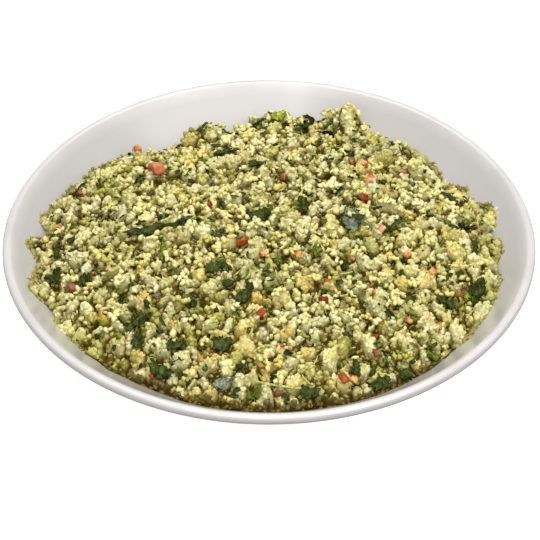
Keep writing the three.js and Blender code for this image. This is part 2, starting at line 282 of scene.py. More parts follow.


# Clear glaze over white porcelain: a hard, smooth gloss with the faintest waves from the dip, white in depth,
# and painted a touch lighter towards the lip, in soft patches, as light on the rim.
glaze, tree = new_material("glazed_white_porcelain")
place = add_node(tree, "ShaderNodeTexCoord")
height = add_node(tree, "ShaderNodeSeparateXYZ", links={"Vector": place.outputs["Object"]})
# Painted light: lighter in soft patches over the last 5 mm below the rim
near_lip = add_node(
    tree, "ShaderNodeMapRange", {"From Min": RIM_HEIGHT - 5 * MM, "From Max": RIM_HEIGHT - 0.5 * MM},
    {"Value": height.outputs["Z"]},
)
lip_light_patches = add_node(
    tree, "ShaderNodeTexNoise", {"Scale": 1 / (30 * MM), "Detail": 3.0}, {"Vector": place.outputs["Object"]}
)
lip_light = add_node(
    tree, "ShaderNodeMath", {"operation": "MULTIPLY"},
    {0: near_lip.outputs["Result"], 1: lip_light_patches.outputs["Fac"]},
)
body_colour = add_node(
    tree, "ShaderNodeMix", {"data_type": "RGBA", 6: linear(GLAZE_WHITE), 7: linear(GLAZE_LIP_LIGHT)},
    {0: lip_light.outputs["Value"]},
)
dip_waves = add_node(
    tree, "ShaderNodeTexNoise", {"Scale": 1 / (18 * MM), "Detail": 1.0}, {"Vector": place.outputs["Object"]}
)
waves = add_node(
    tree, "ShaderNodeBump", {"Strength": 0.12, "Distance": 0.15 * MM}, {"Height": dip_waves.outputs["Fac"]}
)
finish_material(
    tree, {"Roughness": 0.27, "IOR": 1.52, "Coat Weight": 0.4, "Coat Roughness": 0.17},
    {"Base Color": body_colour.outputs[2], "Normal": waves.outputs["Normal"]},
)

# Bare fired porcelain on the foot ring: dry and matt, a shade creamier, with a fine tooth.
bisque, tree = new_material("bare_fired_porcelain")
place = add_node(tree, "ShaderNodeTexCoord")
tooth = add_node(
    tree, "ShaderNodeTexNoise", {"Scale": 1 / (0.8 * MM), "Detail": 4.0}, {"Vector": place.outputs["Object"]}
)
bare_colour = add_node(
    tree, "ShaderNodeMix", {"data_type": "RGBA", 6: linear(BISQUE), 7: linear(BISQUE_DARK)},
    {0: tooth.outputs["Fac"]},
)
rough = add_node(
    tree, "ShaderNodeBump", {"Strength": 0.4, "Distance": 0.1 * MM}, {"Height": tooth.outputs["Fac"]}
)
finish_material(
    tree, {"Roughness": 0.85}, {"Base Color": bare_colour.outputs[2], "Normal": rough.outputs["Normal"]}
)

# Down the lip's outer side: a satin skin, painted greyer and greyer towards the underside as the shade
# there.
lip_shade, tree = new_material("painted_shade_down_the_lip")
place = add_node(tree, "ShaderNodeTexCoord")
height = add_node(tree, "ShaderNodeSeparateXYZ", links={"Vector": place.outputs["Object"]})
lip_shade_ramp = add_node(
    tree, "ShaderNodeMapRange", {"From Min": RIM_HEIGHT - LIP_SHADE_FROM, "From Max": RIM_HEIGHT - LIP_SHADE_TO},
    {"Value": height.outputs["Z"]},
)
lip_shade_colour = add_node(
    tree, "ShaderNodeMix", {"data_type": "RGBA", 6: linear(GLAZE_WHITE), 7: linear(LIP_SHADE_GREY)},
    {0: lip_shade_ramp.outputs["Result"]},
)
finish_material(tree, {"Roughness": 0.5, "Specular IOR Level": 0.15}, {"Base Color": lip_shade_colour.outputs[2]})

bowl = new_piece(turned_mesh("porcelain_bowl", profile, BOWL_SEGMENTS), [glaze, bisque, lip_shade])
for face in bowl.data.polygons:
    away, up = math.hypot(face.center.x, face.center.y), face.center.z
    if FOOT_INNER < away < FOOT_OUTER and up < FOOT_EDGE / 3:
        face.material_index = 1  # bare
    if away > lip_centre[0] and RIM_HEIGHT / 2 < up < RIM_HEIGHT - LIP_SHADE_FROM:
        face.material_index = 2  # painted shade down the lip's outer side
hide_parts("bowl")

# ---- Heap ----
# The body of the salad: steamed couscous that sticks together in soft lumps, with dark gaps between them. Its
# form is the solid's. The core under the loose pieces is one closed body, with the lumps in relief.

FORM_STEP = 1 * MM  # of the grid that the solid's form is read on
SMOOTHING = 3  # passes that take out the solid's flat facets
FINE_STEP = 0.4 * MM  # of the grid that the lumps and all that lies on them are worked out on
COVER = 6.5 * MM  # how deep the gaps between lumps reach under the solid's surface
# The lumps, and the lobes that each is made of: how many places are tried, and the least and greatest radius
# in mm, the largest first
LUMP_TRIES = ((260, 3.1, 4.5), (1500, 2.3, 3.3), (3000, 1.6, 2.3))
LOBE_TRIES = ((9000, 1.6, 2.7), (9000, 1.2, 1.6))
LUMP_SPREAD = 0.985  # of the heap's radius, how far out they lie
LUMP_APART, LOBE_APART = 0.9, 0.82  # of the two radii, the least distance between two of them
LUMP_HEIGHT, LOBE_HEIGHT = (0.7, 1.15), (0.6, 1.0)  # of the radius
DOME_POWER = 2.5  # 2 is a round dome, and more is steeper at the side
# How far they are out of round, and how finely
LUMP_WARP, LOBE_WARP = (2.1 * MM, 4.2 * MM), (0.8 * MM, 2.2 * MM)
LOBE_IN_GAP = 0.7  # of their height, what lobes have where there is no lump
CRACK_RISE = 0.9 * MM  # where a lobe rises less than this, there is a crack between two lobes
# The lumps that stand out most, in mm: x, y, radius, height, and a tone from 0, pale, to 1, golden
LUMP_PLACES = (
    (-35, -104, 3.6, 4.0, 0.9),
    (-28, -104, 3.6, 3.8, 0.9),
    (-11, -75, 4.6, 4.2, 0.7),
    (-11, -84, 4.4, 3.8, 0.8),
    (-59, -53, 4.4, 4.4, 0.8),
    (43, 92, 4.6, 4.6, 0.5),
    (50.5, 87.5, 4.4, 3.4, 0.4),
    (41, 84, 4.0, 4.0, 0.4),
    (30, -2, 4.6, 4.4, 0.6),
    (-28, 12, 4.5, 4.2, 0.6),
    (73, 3, 4.7, 4.4, 0.65),
    (90, -15, 4.7, 4.4, 0.7),
    (74, -36, 4.5, 4.4, 0.8),
    (-6, 18, 4.5, 4.2, 0.6),
    (-50, -78, 4.7, 4.4, 0.2),
    (49, -58, 4.5, 4.4, 0.1),
    (-41, 85, 4.5, 4.4, 0.8),
    (-32, 89, 4.2, 3.8, 0.5),
)
# Nests of herbs, with few grains of couscous over them, and a large scrap of leaf on top of each: its x, y,
# length and width in mm, its turn in degrees, and its tone's name
HERB_NESTS = (
    (-54, -5, 29, 5, 14, "dark"),
    (40, -1, 18, 9, -80, "grey"),
    (30, 77, 10, 7, 24, "dark"),
    (18, 86, 7, 6, 6, "dark"),
    (5, 94, 8, 6, 20, "bright"),
    (-19, 86, 9, 5, -15, "dark"),
    (-24, 58, 8, 6, -5, "dark"),
    (-6, 43, 8, 7, 14, "dark"),
    (-5, 3, 11, 8, 7, "dark"),
    (17, 8, 11, 6, -93, "dark"),
    (60, -2, 12, 4, 45, "dark"),
    (100, -34, 9, 6, 36, "dark"),
    (100, -10, 10, 3, -96, "dark"),
    (-103, -11, 12, 3, -88, "dark"),
    (-104, -29, 8, 6, -23, "dark"),
    (-63, -64, 9, 5, 43, "dark"),
    (-61, -73, 9, 5, -86, "dark"),
    (-51, -24, 11, 4, -90, "mid"),
    (-26, -35, 9, 5, 16, "dark"),
    (-18, -47, 8, 5, -9, "dark"),
    (-13, -56, 7, 5, 0, "dark"),
    (-21, -101, 9, 5, 0, "grey"),
    (-7, -105, 7, 4, 0, "mid"),
    (40, -94, 8, 4, -90, "dark"),
    (22, -27, 6, 5, 17, "mid"),
    (63, -89, 7, 5, 23, "dark"),
    (77, -76, 7, 5, 24, "mid"),
    (-35, 88, 6, 5, -8, "dark"),
    (-50, -90, 12, 5, -30, "dark"),
    (-22, -83, 9, 6, 0, "dark"),
    (-43, -78, 8, 6, 20, "dark"),
    (19, -106, 9, 4, 0, "dark"),
    (51, -97, 10, 4, 25, "dark"),
    (-88, -33, 8, 6, 10, "dark"),
    (-95, 38, 8, 6, 30, "dark"),
    (84, -48, 9, 6, 0, "dark"),
    (97, 4, 7, 5, 0, "dark"),
    (90, 28, 8, 6, -20, "dark"),
)
SMALL_NESTS, SMALL_NEST_SIZE, SMALL_NEST_SPREAD = 110, (3.0, 7.5), 0.97  # the size is in mm
NEST_MARGIN = 1.2 * MM  # how far a nest reaches past its leaf
NEST_FADE = 1.6  # how steeply a nest ends
NEST_HOLLOW = 0.75  # of a lump's height, what it loses in a nest
CORE_CELLS = 300  # along each side of the square grid that is laid over the round heap
UNDERSIDE_SHARES = (0.97, 0.84, 0.6, 0.3)  # of the edge's radius, where the underside's rings of points lie
SEAT_GAP = 0.3 * MM  # between the heap and the bowl
# The couscous runs from pale over golden to the orange of tomato juice. Herb juice turns any tone towards
# green. The gaps, the cracks between lobes, the lumps' low flanks and the front are painted darker as shade.
GRAIN_TONES = ((0.0, "f0edbf"), (0.4, "f0ebb4"), (0.7, "eee3a1"), (1.0, "ead486"), (1.3, "e0b470"))
HERB_JUICE, JUICE_MOST = "b4b24e", 0.85  # its colour, which low flanks also take as painted shade, and how far it can turn a tone
# Painted shade in the gaps, cracks and nests and along the front, and the dressing's darkening of some lumps
SOAKED_AND_SHADE = "544307"
TONE_SPREAD = (1.0, 1.7)  # of the beta distribution that lumps draw their tones from, most of them pale
RICH_TONE, RICH_SHARE = 1.5, 0.12  # times its tone, what a richer lump has, and how many lumps are richer
JUICE_SPREAD, WET_SPREAD = (0.05, 0.2), (0.3, 0.45)  # the mean and spread of the lumps' juice and wetness
LOBE_TONE, LOBE_JUICE = 0.1, 0.12  # how much a lump's lobes differ
GAP_TONE = (0.5, 0.1)  # the tone of what lies in the gaps, and its share of juice
JUICE_DRIFT, JUICE_PITCH = 0.3, 14 * MM  # how much the share of juice changes over the heap, and how soon
FLANK_SHADE, LOW_RISE = 0.45, 4.5 * MM  # painted shade: how far low flanks turn to the juice's olive, where the lumps rise less than this
WET_SHARE, WET_PITCH = 0.2, 17 * MM  # how far the dressing darkens a lump, and how far apart wet places lie
GAP_SHADE, CRACK_SHADE = 0.5, 0.12  # how far painted shade darkens the gaps and nests, and the cracks
# Along the front, where the lip shades the heap's edge, it is painted dark as shade: from where on, beyond
# which share of the heap's radius, and how far it darkens the couscous there
FRONT_Y, FRONT_EDGE, FRONT_SHADE = -78 * MM, 0.97, 0.85
DARK_RISE, LIT_RISE = 0.4 * MM, 2.4 * MM  # up to the one the core is all painted shade, and from the other not
# Of the heap's radius: where its border starts, and along y where the sides start and the front ends
CORE_BORDER, BACK_FROM, FRONT_TO = 0.98, -0.6, -0.75
CORE_SHADE = 0.94  # times its lump's colour, what the core has
HOLLOW_DEPTH, HOLLOW_PITCH = 2.3 * MM, 12 * MM  # of the gentle hills and hollows that groups of lumps make
HOLLOW_SINK = 0.2  # of their depth, how far they are lowered
# The hills that stand out, and two hollows, in mm: x, y, radius and height
HILLS = (
    (42, 89, 9, 4.5),
    (-34, 90, 9, 6.0),
    (2, 94, 5, 3.5),
    (-109, 33, 5, 2.0),
    (-115, 2, 4, 3.5),
    (-110, -32, 5, 4.0),
    (107, 33, 5, 3.0),
    (97, 46, 6, 3.0),
    (113, 0, 4, 3.5),
    (-13, 92, 7, -7.0),
    (-61, 74, 5, -2.5),
)
# Where the heap's edge reaches further up the wall or less far: a bearing in degrees from the right towards
# the back, by how many mm, and over how many degrees. All of the edge is also a little ragged, with a new
# value every few degrees.
EDGE_SHIFTS = (
    (7, -7, 2.0),
    (17, 4, 4.0),
    (27, 3, 5.0),
    (99, -7, 5.0),
    (112, 3, 4.0),
    (123, -7, 3.0),
    (163, 1.0, 4.0),
    (172.5, -5, 2.2),
    (179, 1.5, 1.5),
    (184, -3.5, 3.0),
    (196, 5, 3.0),
    (202.5, -4, 2.0),
    (355, -4.5, 3.5),
)
EDGE_RAGGED, EDGE_PITCH = 1.4 * MM, 4  # degrees
EDGE_BEARINGS = 720
EDGE_LEAST, EDGE_STEP = 90 * MM, 0.25 * MM  # where the search for the edge starts, and how fine it is

draw = np.random.default_rng(20)
heap_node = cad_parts["salad"]
heap_tree = BVHTree.FromPolygons(
    [vertex.co for vertex in heap_node.data.vertices],
    [list(face.vertices) for face in heap_node.data.polygons],
)
heap_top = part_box("salad")[1].z


def square_grid(step):
    """The x and y of a square grid over the whole bowl."""
    half = math.ceil(RIM_RADIUS / step)
    line = np.arange(-half, half + 1) * step
    return np.meshgrid(line, line)


def between(grid, row, column, ease=lambda share: share):
    """A grid's values at places between its points, given as rows and columns."""
    i, j = row.astype(int), column.astype(int)
    u, v = ease(column - j), ease(row - i)
    near = grid[i, j] * (1 - u) + grid[i, j + 1] * u
    far = grid[i + 1, j] * (1 - u) + grid[i + 1, j + 1] * u
    return near * (1 - v) + far * v


def sample(grid, step, x, y):
    """The values of a square grid over the bowl, at places given in metres."""
    half = (len(grid) - 1) / 2
    return between(grid, *(np.clip(np.asarray(c) / step + half, 0, 2 * half - 1e-6) for c in (y, x)))


def neighbours(grid):
    """Nine grids that hold each point's eight neighbours and the point itself."""
    rows, columns = grid.shape
    padded = np.pad(grid, 1, mode="edge")
    return [padded[a:a + rows, b:b + columns] for a in range(3) for b in range(3)]


def smoothed(grid, passes):
    """A grid blurred by the mean of each point and its neighbours."""
    for _ in range(passes):
        grid = sum(neighbours(grid)) / 9
    return grid


form_x, form_y = square_grid(FORM_STEP)
form = wall_height(np.minimum(np.hypot(form_x, form_y), inside_top[0]))
covered = np.zeros(form.shape)
for at, x in np.ndenumerate(form_x):
    hit = heap_tree.ray_cast(Vector((x, form_y[at], heap_top + MM)), Vector((0, 0, -1)))[0]
    if hit:
        form[at] = hit.z
        covered[at] = 1
form = smoothed(form, SMOOTHING)

# The heap's edge, as a radius at each of a ring of bearings, is where the solid ends
edge_angles = np.arange(EDGE_BEARINGS) * 2 * math.pi / EDGE_BEARINGS
search = np.arange(EDGE_LEAST, RIM_RADIUS, EDGE_STEP)
searched = (np.outer(way, search) for way in (np.cos(edge_angles), np.sin(edge_angles)))
on_heap = sample(covered, FORM_STEP, *searched) > 0.5
edge_radii = search[on_heap.shape[1] - 1 - np.argmax(on_heap[:, ::-1], axis=1)]
edge_knots = np.arange(0, 360, EDGE_PITCH)
ragged = draw.uniform(-1, 1, len(edge_knots)) * EDGE_RAGGED
edge_radii += np.interp(np.degrees(edge_angles), edge_knots, ragged, period=360)
for bearing, shift, width in EDGE_SHIFTS:
    off = (np.degrees(edge_angles) - bearing + 180) % 360 - 180
    edge_radii += shift * MM * np.exp(-(off / width) ** 2)


def edge_radius(angle):
    """The heap's outer radius at each bearing."""
    turns = np.mod(angle, 2 * math.pi) / (2 * math.pi) * EDGE_BEARINGS
    first = turns.astype(int) % EDGE_BEARINGS
    part = turns - turns.astype(int)
    return edge_radii[first] * (1 - part) + edge_radii[(first + 1) % EDGE_BEARINGS] * part


def random_in_heap(count, share=1.0):
    """Places spread over the heap's plan, out to a share of its edge."""
    angle = draw.uniform(0, 2 * math.pi, count)
    radius = edge_radius(angle) * share * np.sqrt(draw.uniform(0, 1, count))
    return np.stack([radius * np.cos(angle), radius * np.sin(angle)], axis=1)


def noise_at(pitch, x, y):
    """Smooth noise from -1 to 1 over the plan, with a new random value at every pitch."""
    values = draw.uniform(-1, 1, (int(2 * RIM_RADIUS / pitch) + 6,) * 2)
    row, column = ((c + RIM_RADIUS) / pitch + 2 for c in (y, x))
    return between(values, row, column, lambda share: share * share * (3 - 2 * share))


def spread_apart(points, radii, apart):
    """The numbers of the balls that stay when each keeps a share of the two radii from those before it."""
    kept, cells = [], {}
    size = 2 * apart * radii.max()
    for number, (point, radius) in enumerate(zip(points.tolist(), radii.tolist())):
        i, j, k = (math.floor(c / size) for c in point)
        near = (
            other
            for a in (i - 1, i, i + 1) for b in (j - 1, j, j + 1) for c in (k - 1, k, k + 1)
            for other in cells.get((a, b, c), ())
        )
        if all(math.dist(point, other) >= apart * (radius + r) for other, r in near):
            kept.append(number)
            cells.setdefault((i, j, k), []).append((point, radius))
    return np.array(kept)


def scattered(tries, apart, heights, by_hand=()):
    """Places, radii and heights of domes that lie apart, with those given first."""
    rows = [np.array(by_hand)[:, :4] * MM] if by_hand else []
    for count, least, greatest in tries:
        radii = draw.uniform(least, greatest, count) * MM
        places = random_in_heap(count, LUMP_SPREAD)
        rows.append(np.column_stack([places, radii, radii * draw.uniform(*heights, count)]))
    rows = np.concatenate(rows)
    return rows[spread_apart(rows[:, :3] * (1, 1, 0), rows[:, 2], apart)]


def domes(rows, warp, pitch):
    """How high domes stand over each place, and the number of the highest one there, or -1. The warp puts
    them out of round."""
    warped_x = fine_x + warp * noise_at(pitch, fine_x, fine_y)
    warped_y = fine_y + warp * noise_at(pitch, fine_x, fine_y)
    rise, owner = np.zeros(fine_x.shape), np.full(fine_x.shape, -1)
    for number, (x, y, radius, height) in enumerate(rows):
        reach = radius + warp
        spans = ((int((c - reach) / FINE_STEP), int((c + reach) / FINE_STEP) + 2) for c in (y, x))
        cells = tuple(slice(max(fine_half + low, 0), fine_half + high) for low, high in spans)
        away = np.hypot(warped_x[cells] - x, warped_y[cells] - y) / radius
        dome = height * np.clip(1 - away ** DOME_POWER, 0, None) ** (1 / DOME_POWER)
        owner[cells] = np.where(dome > rise[cells], number, owner[cells])
        rise[cells] = np.maximum(rise[cells], dome)
    return rise, owner


def fine_at(grid, x, y):
    """The values of a fine grid at places given in metres."""
    return sample(grid, FINE_STEP, x, y)


fine_x, fine_y = square_grid(FINE_STEP)
fine_half = (len(fine_x) - 1) // 2
lumps = scattered(LUMP_TRIES, LUMP_APART, LUMP_HEIGHT, LUMP_PLACES)
lobes = scattered(LOBE_TRIES, LOBE_APART, LOBE_HEIGHT)
# The last of each is for the places where there is no dome, whose number is -1
count = len(lumps) + 1
tones = draw.beta(*TONE_SPREAD, count) * draw.choice((1, RICH_TONE), count, p=(1 - RICH_SHARE, RICH_SHARE))
juices = draw.normal(*JUICE_SPREAD, count)
tones[-1], juices[-1] = GAP_TONE
tones[:len(LUMP_PLACES)] = [row[-1] for row in LUMP_PLACES]
lump_rise, lump_owner = domes(lumps, *LUMP_WARP)
lobe_rise, lobe_owner = domes(lobes, *LOBE_WARP)

nest = np.zeros(fine_x.shape)  # 1 in the middle of a nest of herbs
small_nests = [
    (x / MM, y / MM, *draw.uniform(*SMALL_NEST_SIZE, 2), draw.uniform(0, 180), "dark")
    for x, y in random_in_heap(SMALL_NESTS, SMALL_NEST_SPREAD)
]
for x, y, length, width, degrees, _ in (*HERB_NESTS, *small_nests):
    turn = math.radians(degrees)
    off_x, off_y = fine_x - x * MM, fine_y - y * MM
    along = (off_x * math.cos(turn) + off_y * math.sin(turn)) / (length * MM / 2 + NEST_MARGIN)
    across = (off_y * math.cos(turn) - off_x * math.sin(turn)) / (width * MM / 2 + NEST_MARGIN)
    nest = np.maximum(nest, np.clip(NEST_FADE * (1 - np.hypot(along, across)), 0, 1))

in_gap = lump_rise == 0
lump_rise = (lump_rise + lobe_rise * np.where(in_gap, LOBE_IN_GAP, 1)) * (1 - NEST_HOLLOW * nest)
lump_tone = tones[lump_owner] + draw.normal(0, LOBE_TONE, len(lobes) + 1)[lobe_owner]
lump_juice_and_shade = juices[lump_owner] + draw.normal(0, LOBE_JUICE, len(lobes) + 1)[lobe_owner]
lump_wet_and_shade = WET_SHARE * np.clip(draw.normal(*WET_SPREAD, count), 0, 1)[lump_owner]
lump_wet_and_shade += WET_SHARE * np.clip(noise_at(WET_PITCH, fine_x, fine_y), 0, 1)
# Painted shade: darker in the cracks between lobes, and in the gaps and nests
crack = 1 - np.clip(lobe_rise / CRACK_RISE, 0, 1)
lump_wet_and_shade = np.maximum(lump_wet_and_shade + CRACK_SHADE * crack, GAP_SHADE * np.maximum(in_gap, nest))
lump_juice_and_shade += JUICE_DRIFT * noise_at(JUICE_PITCH, fine_x, fine_y)
# Painted shade: the lumps' low flanks turn towards the juice's olive
lump_juice_and_shade += FLANK_SHADE * np.clip(1 - lump_rise / LOW_RISE, 0, 1)

fine_share = np.hypot(fine_x, fine_y) / edge_radius(np.arctan2(fine_y, fine_x))
# Painted shade along the front edge, in the shade under the lip
lump_wet_and_shade[(fine_share > FRONT_EDGE) & (fine_y < FRONT_Y)] = FRONT_SHADE
fine_wall = wall_height(np.minimum(np.hypot(fine_x, fine_y), inside_top[0])) + SEAT_GAP
fine_form = sample(form, FORM_STEP, fine_x, fine_y)
fine_form += HOLLOW_DEPTH * (noise_at(HOLLOW_PITCH, fine_x, fine_y) - HOLLOW_SINK)
for x, y, radius, height in HILLS:
    away = np.hypot(fine_x - x * MM, fine_y - y * MM) / (radius * MM)
    fine_form += height * MM * np.exp(-away ** 2)
room = np.clip(fine_form - fine_wall, 0, COVER)
core_top = fine_form - room + lump_rise * room / COVER
surface = np.maximum(np.where(fine_share < 1, core_top, fine_wall), fine_wall)

tone_steps, tone_colours = zip(*((step, linear(code)) for step, code in GRAIN_TONES))
juice_green, soaked_and_shade = np.array(linear(HERB_JUICE)), np.array(linear(SOAKED_AND_SHADE))


def grain_colours(tones, juice_and_shade, wet_and_shade):
    """Couscous colours, for tones from 0, pale, to 1, golden, and for shares of herb juice and dressing, both
    with painted shade in them.
    """
    plain = np.stack([np.interp(tones, tone_steps, channel) for channel in zip(*tone_colours)], axis=-1)
    green = plain + (juice_green - plain) * np.clip(juice_and_shade, 0, JUICE_MOST)[..., None]
    return green + (soaked_and_shade - green) * wet_and_shade[..., None]


def disc_grid(cells):
    """A square grid bent over a disc of radius 1, without a pinch at the middle."""
    line = np.linspace(-1, 1, cells + 1)
    a, b = np.meshgrid(line, line)
    wide = np.abs(a) > np.abs(b)
    radius = np.where(wide, a, b)
    other = np.divide(np.where(wide, b, a), radius, out=np.zeros_like(a), where=radius != 0)
    angle = np.where(wide, math.pi / 4 * other, math.pi / 2 - math.pi / 4 * other)
    return radius * np.cos(angle), radius * np.sin(angle)


def grid_numbers(cells):
    """A square grid's faces, and the numbers of its points round the edge."""
    number = np.arange((cells + 1) ** 2).reshape(cells + 1, cells + 1)
    quads = [number[:-1, :-1], number[:-1, 1:], number[1:, 1:], number[1:, :-1]]
    around = np.concatenate([number[0, :-1], number[:-1, -1], number[-1, :0:-1], number[:0:-1, 0]])
    return np.stack(quads, axis=-1).reshape(-1, 4), around


def new_mesh(name, points, faces, colours):
    """A mesh whose faces all have the same number of sides, with a colour at each point."""
    mesh = bpy.data.meshes.new(name)
    mesh.vertices.add(len(points))
    mesh.vertices.foreach_set("co", points.astype(np.float32).ravel())
    mesh.loops.add(faces.size)
    mesh.loops.foreach_set("vertex_index", faces.astype(np.int32).ravel())
    mesh.polygons.add(len(faces))
    mesh.polygons.foreach_set("loop_start", np.arange(0, faces.size, faces.shape[1], dtype=np.int32))
    mesh.update(calc_edges=True)
    mesh.shade_smooth()
    tint = mesh.color_attributes.new("tone", "FLOAT_COLOR", "POINT")
    tint.data.foreach_set("color", colours.astype(np.float32).ravel())
    return mesh


unit_x, unit_y = (line.ravel() for line in disc_grid(CORE_CELLS))
edge = edge_radius(np.arctan2(unit_y, unit_x))
core_x, core_y = unit_x * edge, unit_y * edge
core_points = [np.column_stack([core_x, core_y, fine_at(surface, core_x, core_y)])]
top_faces, outer = grid_numbers(CORE_CELLS)
core_faces = [top_faces]
rim_xy = core_points[0][outer, :2]
first = len(core_x)
for share in UNDERSIDE_SHARES:
    ring_xy = rim_xy * share
    core_points.append(np.column_stack([ring_xy, wall_height(np.hypot(*ring_xy.T)) + SEAT_GAP]))
    ring = np.arange(first, first + len(outer))
    core_faces.append(np.stack([np.roll(outer, -1), outer, ring, np.roll(ring, -1)], axis=-1))
    outer = ring
    first += len(outer)
core_points.append(np.array([[0, 0, FLOOR_TOP + SEAT_GAP]]))
fan = [np.roll(outer, -2)[::2], np.roll(outer, -1)[::2], outer[::2], 0 * outer[::2] + first]
core_faces.append(np.stack(fan, axis=-1))

# Deep in a gap the core is painted dark as shade. It has a lump's own colour on the lump and along the heap's
# edge, but not along the front, where it is painted dark as the shade under the lip.
lit = np.interp(fine_at(lump_rise, core_x, core_y), (DARK_RISE, LIT_RISE), (0, 1))[:, None]
border = np.hypot(unit_x, unit_y) > CORE_BORDER
lit[border & (unit_y > BACK_FROM)] = 1
lit[border & (unit_y < FRONT_TO)] = 0
own = grain_colours(*(fine_at(grid, core_x, core_y) for grid in (lump_tone, lump_juice_and_shade, lump_wet_and_shade)))
under_colours = np.tile(soaked_and_shade, (first + 1 - len(lit), 1))
core_colours = np.concatenate([soaked_and_shade + (CORE_SHADE * own - soaked_and_shade) * lit, under_colours])
core_mesh = new_mesh("couscous_heap", np.concatenate(core_points), np.concatenate(core_faces), core_colours)


def moist_food(name, settings, streak_size, streak_range, bump_size, bump_height):
    """A material whose colour is each piece's own tone, streaked, with a fine uneven skin."""
    material, tree = new_material(name)
    place = add_node(tree, "ShaderNodeTexCoord")
    own = add_node(tree, "ShaderNodeVertexColor", {"layer_name": "tone"})
    streaks = add_node(
        tree, "ShaderNodeTexNoise", {"Scale": 1 / streak_size, "Detail": 3.0},
        {"Vector": place.outputs["Object"]},
    )
    strength = add_node(
        tree, "ShaderNodeMapRange",
        {"From Min": 0.3, "From Max": 0.7, "To Min": streak_range[0], "To Max": streak_range[1]},
        {"Value": streaks.outputs["Fac"]},
    )
    colour = add_node(
        tree, "ShaderNodeVectorMath", {"operation": "SCALE"},
        {0: own.outputs["Color"], "Scale": strength.outputs["Result"]},
    )
    pores = add_node(
        tree, "ShaderNodeTexNoise", {"Scale": 1 / bump_size, "Detail": 2.0},
        {"Vector": place.outputs["Object"]},
    )
    skin = add_node(
        tree, "ShaderNodeBump", {"Strength": 0.6, "Distance": bump_height}, {"Height": pores.outputs["Fac"]}
    )
    links = {"Base Color": colour.outputs["Vector"], "Normal": skin.outputs["Normal"]}
    finish_material(tree, settings, links)
    return material


def food_piece(mesh, material):
    """Puts a mesh in the scene as a piece that stands for the heap's solid."""
    piece = new_piece(mesh, [material])
    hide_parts("salad")


# Couscous in the depth of the heap, moist with oil: painted dark olive brown as shade in the gaps, hardly
# shiny, and as yellow as the grains where it comes to the surface.
DEEP_FINISH = {
    "Roughness": 0.6,
    "Specular IOR Level": 0.05,
    "Subsurface Weight": 0.2,
    "Subsurface Radius": (1.0, 0.85, 0.3),
    "Subsurface Scale": 1.0 * MM,
}
deep_painted_shade = moist_food("deep_couscous_with_painted_shade", DEEP_FINISH, 2.0 * MM, (0.75, 1.15), 0.6 * MM, 0.15 * MM)
food_piece(core_mesh, deep_painted_shade)

# ---- Couscous in lumps ----
# Wheat semolina rolled into grains and steamed until each swells to 2 or 3 mm. They are moist and soft, and
# have half sunk into each other. Oil and spice turn some lumps golden, and herb juice tints others green.

GRAIN_SIDES = 7
GRAIN_SHAPES = 40
GRAIN_POLARS = (48, 106)  # in degrees from its top, where a grain's two rings of points lie
GRAIN_WOBBLE, GRAIN_TWIST = 9, 0.2  # how far a point strays, in degrees down and in radians round
# Of the radius: how far out the rings' points lie, how high its top and its foot are, and how it is sheared
GRAIN_REACH, GRAIN_TOP, GRAIN_FOOT, GRAIN_SHEAR = (0.62, 1.24), (0.8, 1.1), -0.45, 0.26
GRAIN_STRETCH = ((0.95, 1.3), (0.8, 1.1), (0.75, 1.1))  # of the radius, along its three axes
GRAIN_TIP, GRAIN_SHADE = 0.35, (0.93, 1.07)  # how far it leans, and how much lighter or darker it is
GRAIN_RADIUS = (1.15, 1.8)  # mm
GRAIN_TRIES = 150000
GRAIN_APART = 0.6  # of the two radii, the least distance between two grains
GRAIN_SUNK = (0.25, 0.8)  # of the radius, how deep a grain's middle lies under the core's surface
TONE_NOISE, JUICE_NOISE = 0.11, 0.08  # how much grains of one lump differ
GAP_RISE = 1.2 * MM  # under this the core is a gap
GAP_SHARE, NEST_SHARE = 0.2, 0.06  # of the grains in a gap, and in a nest of herbs, those that stay
NEST_BARE, CRACK_OPEN = 1.5, 0.6  # how fast grains grow fewer into a nest, and into a crack between lobes
# The grains along the heap's edge, which no gap thins out: how many places are tried, their bearings in
# degrees from the right towards the back, and their shares of the edge's radius
EDGE_TRIES, EDGE_BEARING, EDGE_BAND = 1200, (-38, 218), (0.985, 1.005)
SLOPE_REACH = 0.8 * MM  # how far round a grain its slope is taken from
# Painted shade in the creases between grains, where they sink into one another
CREASE_SHADE_BROWN = "8a7012"
CREASE_SHADE_SHARE = 0.2  # painted shade: how much of the darker brown the creases between grains take
CREASE_UPPER = 0.12  # of that, how much a grain's upper ring of points takes
# The pieces that the grains are joined in, and the tone that each ends at
GRAIN_KINDS = {"pale_couscous": 0.24, "cream_couscous": 0.48, "golden_couscous": math.inf}
# A grain's net: how far out its rings lie round a middle, and how small its underside is, round another one
NET_RADII, NET_MIDDLE, NET_UNDER, NET_UNDER_MIDDLE = (0.2, 0.38), (0.4, 0.5), 0.25, (0.89, 0.12)
LAY_FLAT = 0.9  # of its height, how high a grain stands for what is laid on it


def joined_mesh(name, shapes, faces, net, numbers, places, turns, sizes, tones):
    """One mesh of many small pieces. They share faces and a net, a flat layout for baking. Each has its
    shape's number, place, turn and size, and a tone for the whole piece or for each of its points."""
    points = np.einsum("nij,nkj->nki", turns, shapes[numbers] * sizes[:, None, :]) + places[:, None, :]
    count, corners = points.shape[:2]
    all_faces = (faces[None] + (np.arange(count) * corners)[:, None, None]).reshape(-1, faces.shape[1])
    colours = np.broadcast_to(tones.reshape(count, -1, 4), (count, corners, 4))
    mesh = new_mesh(name, points.reshape(-1, 3), all_faces, colours.reshape(-1, 4))
    cells = math.ceil(math.sqrt(count))
    cell = np.stack([np.arange(count) % cells, np.arange(count) // cells], axis=-1)
    layer = mesh.uv_layers.new(name="OFBake")
    layer.data.foreach_set("uv", ((cell[:, None, None] + net[None]) / cells).astype(np.float32).ravel())
    return mesh


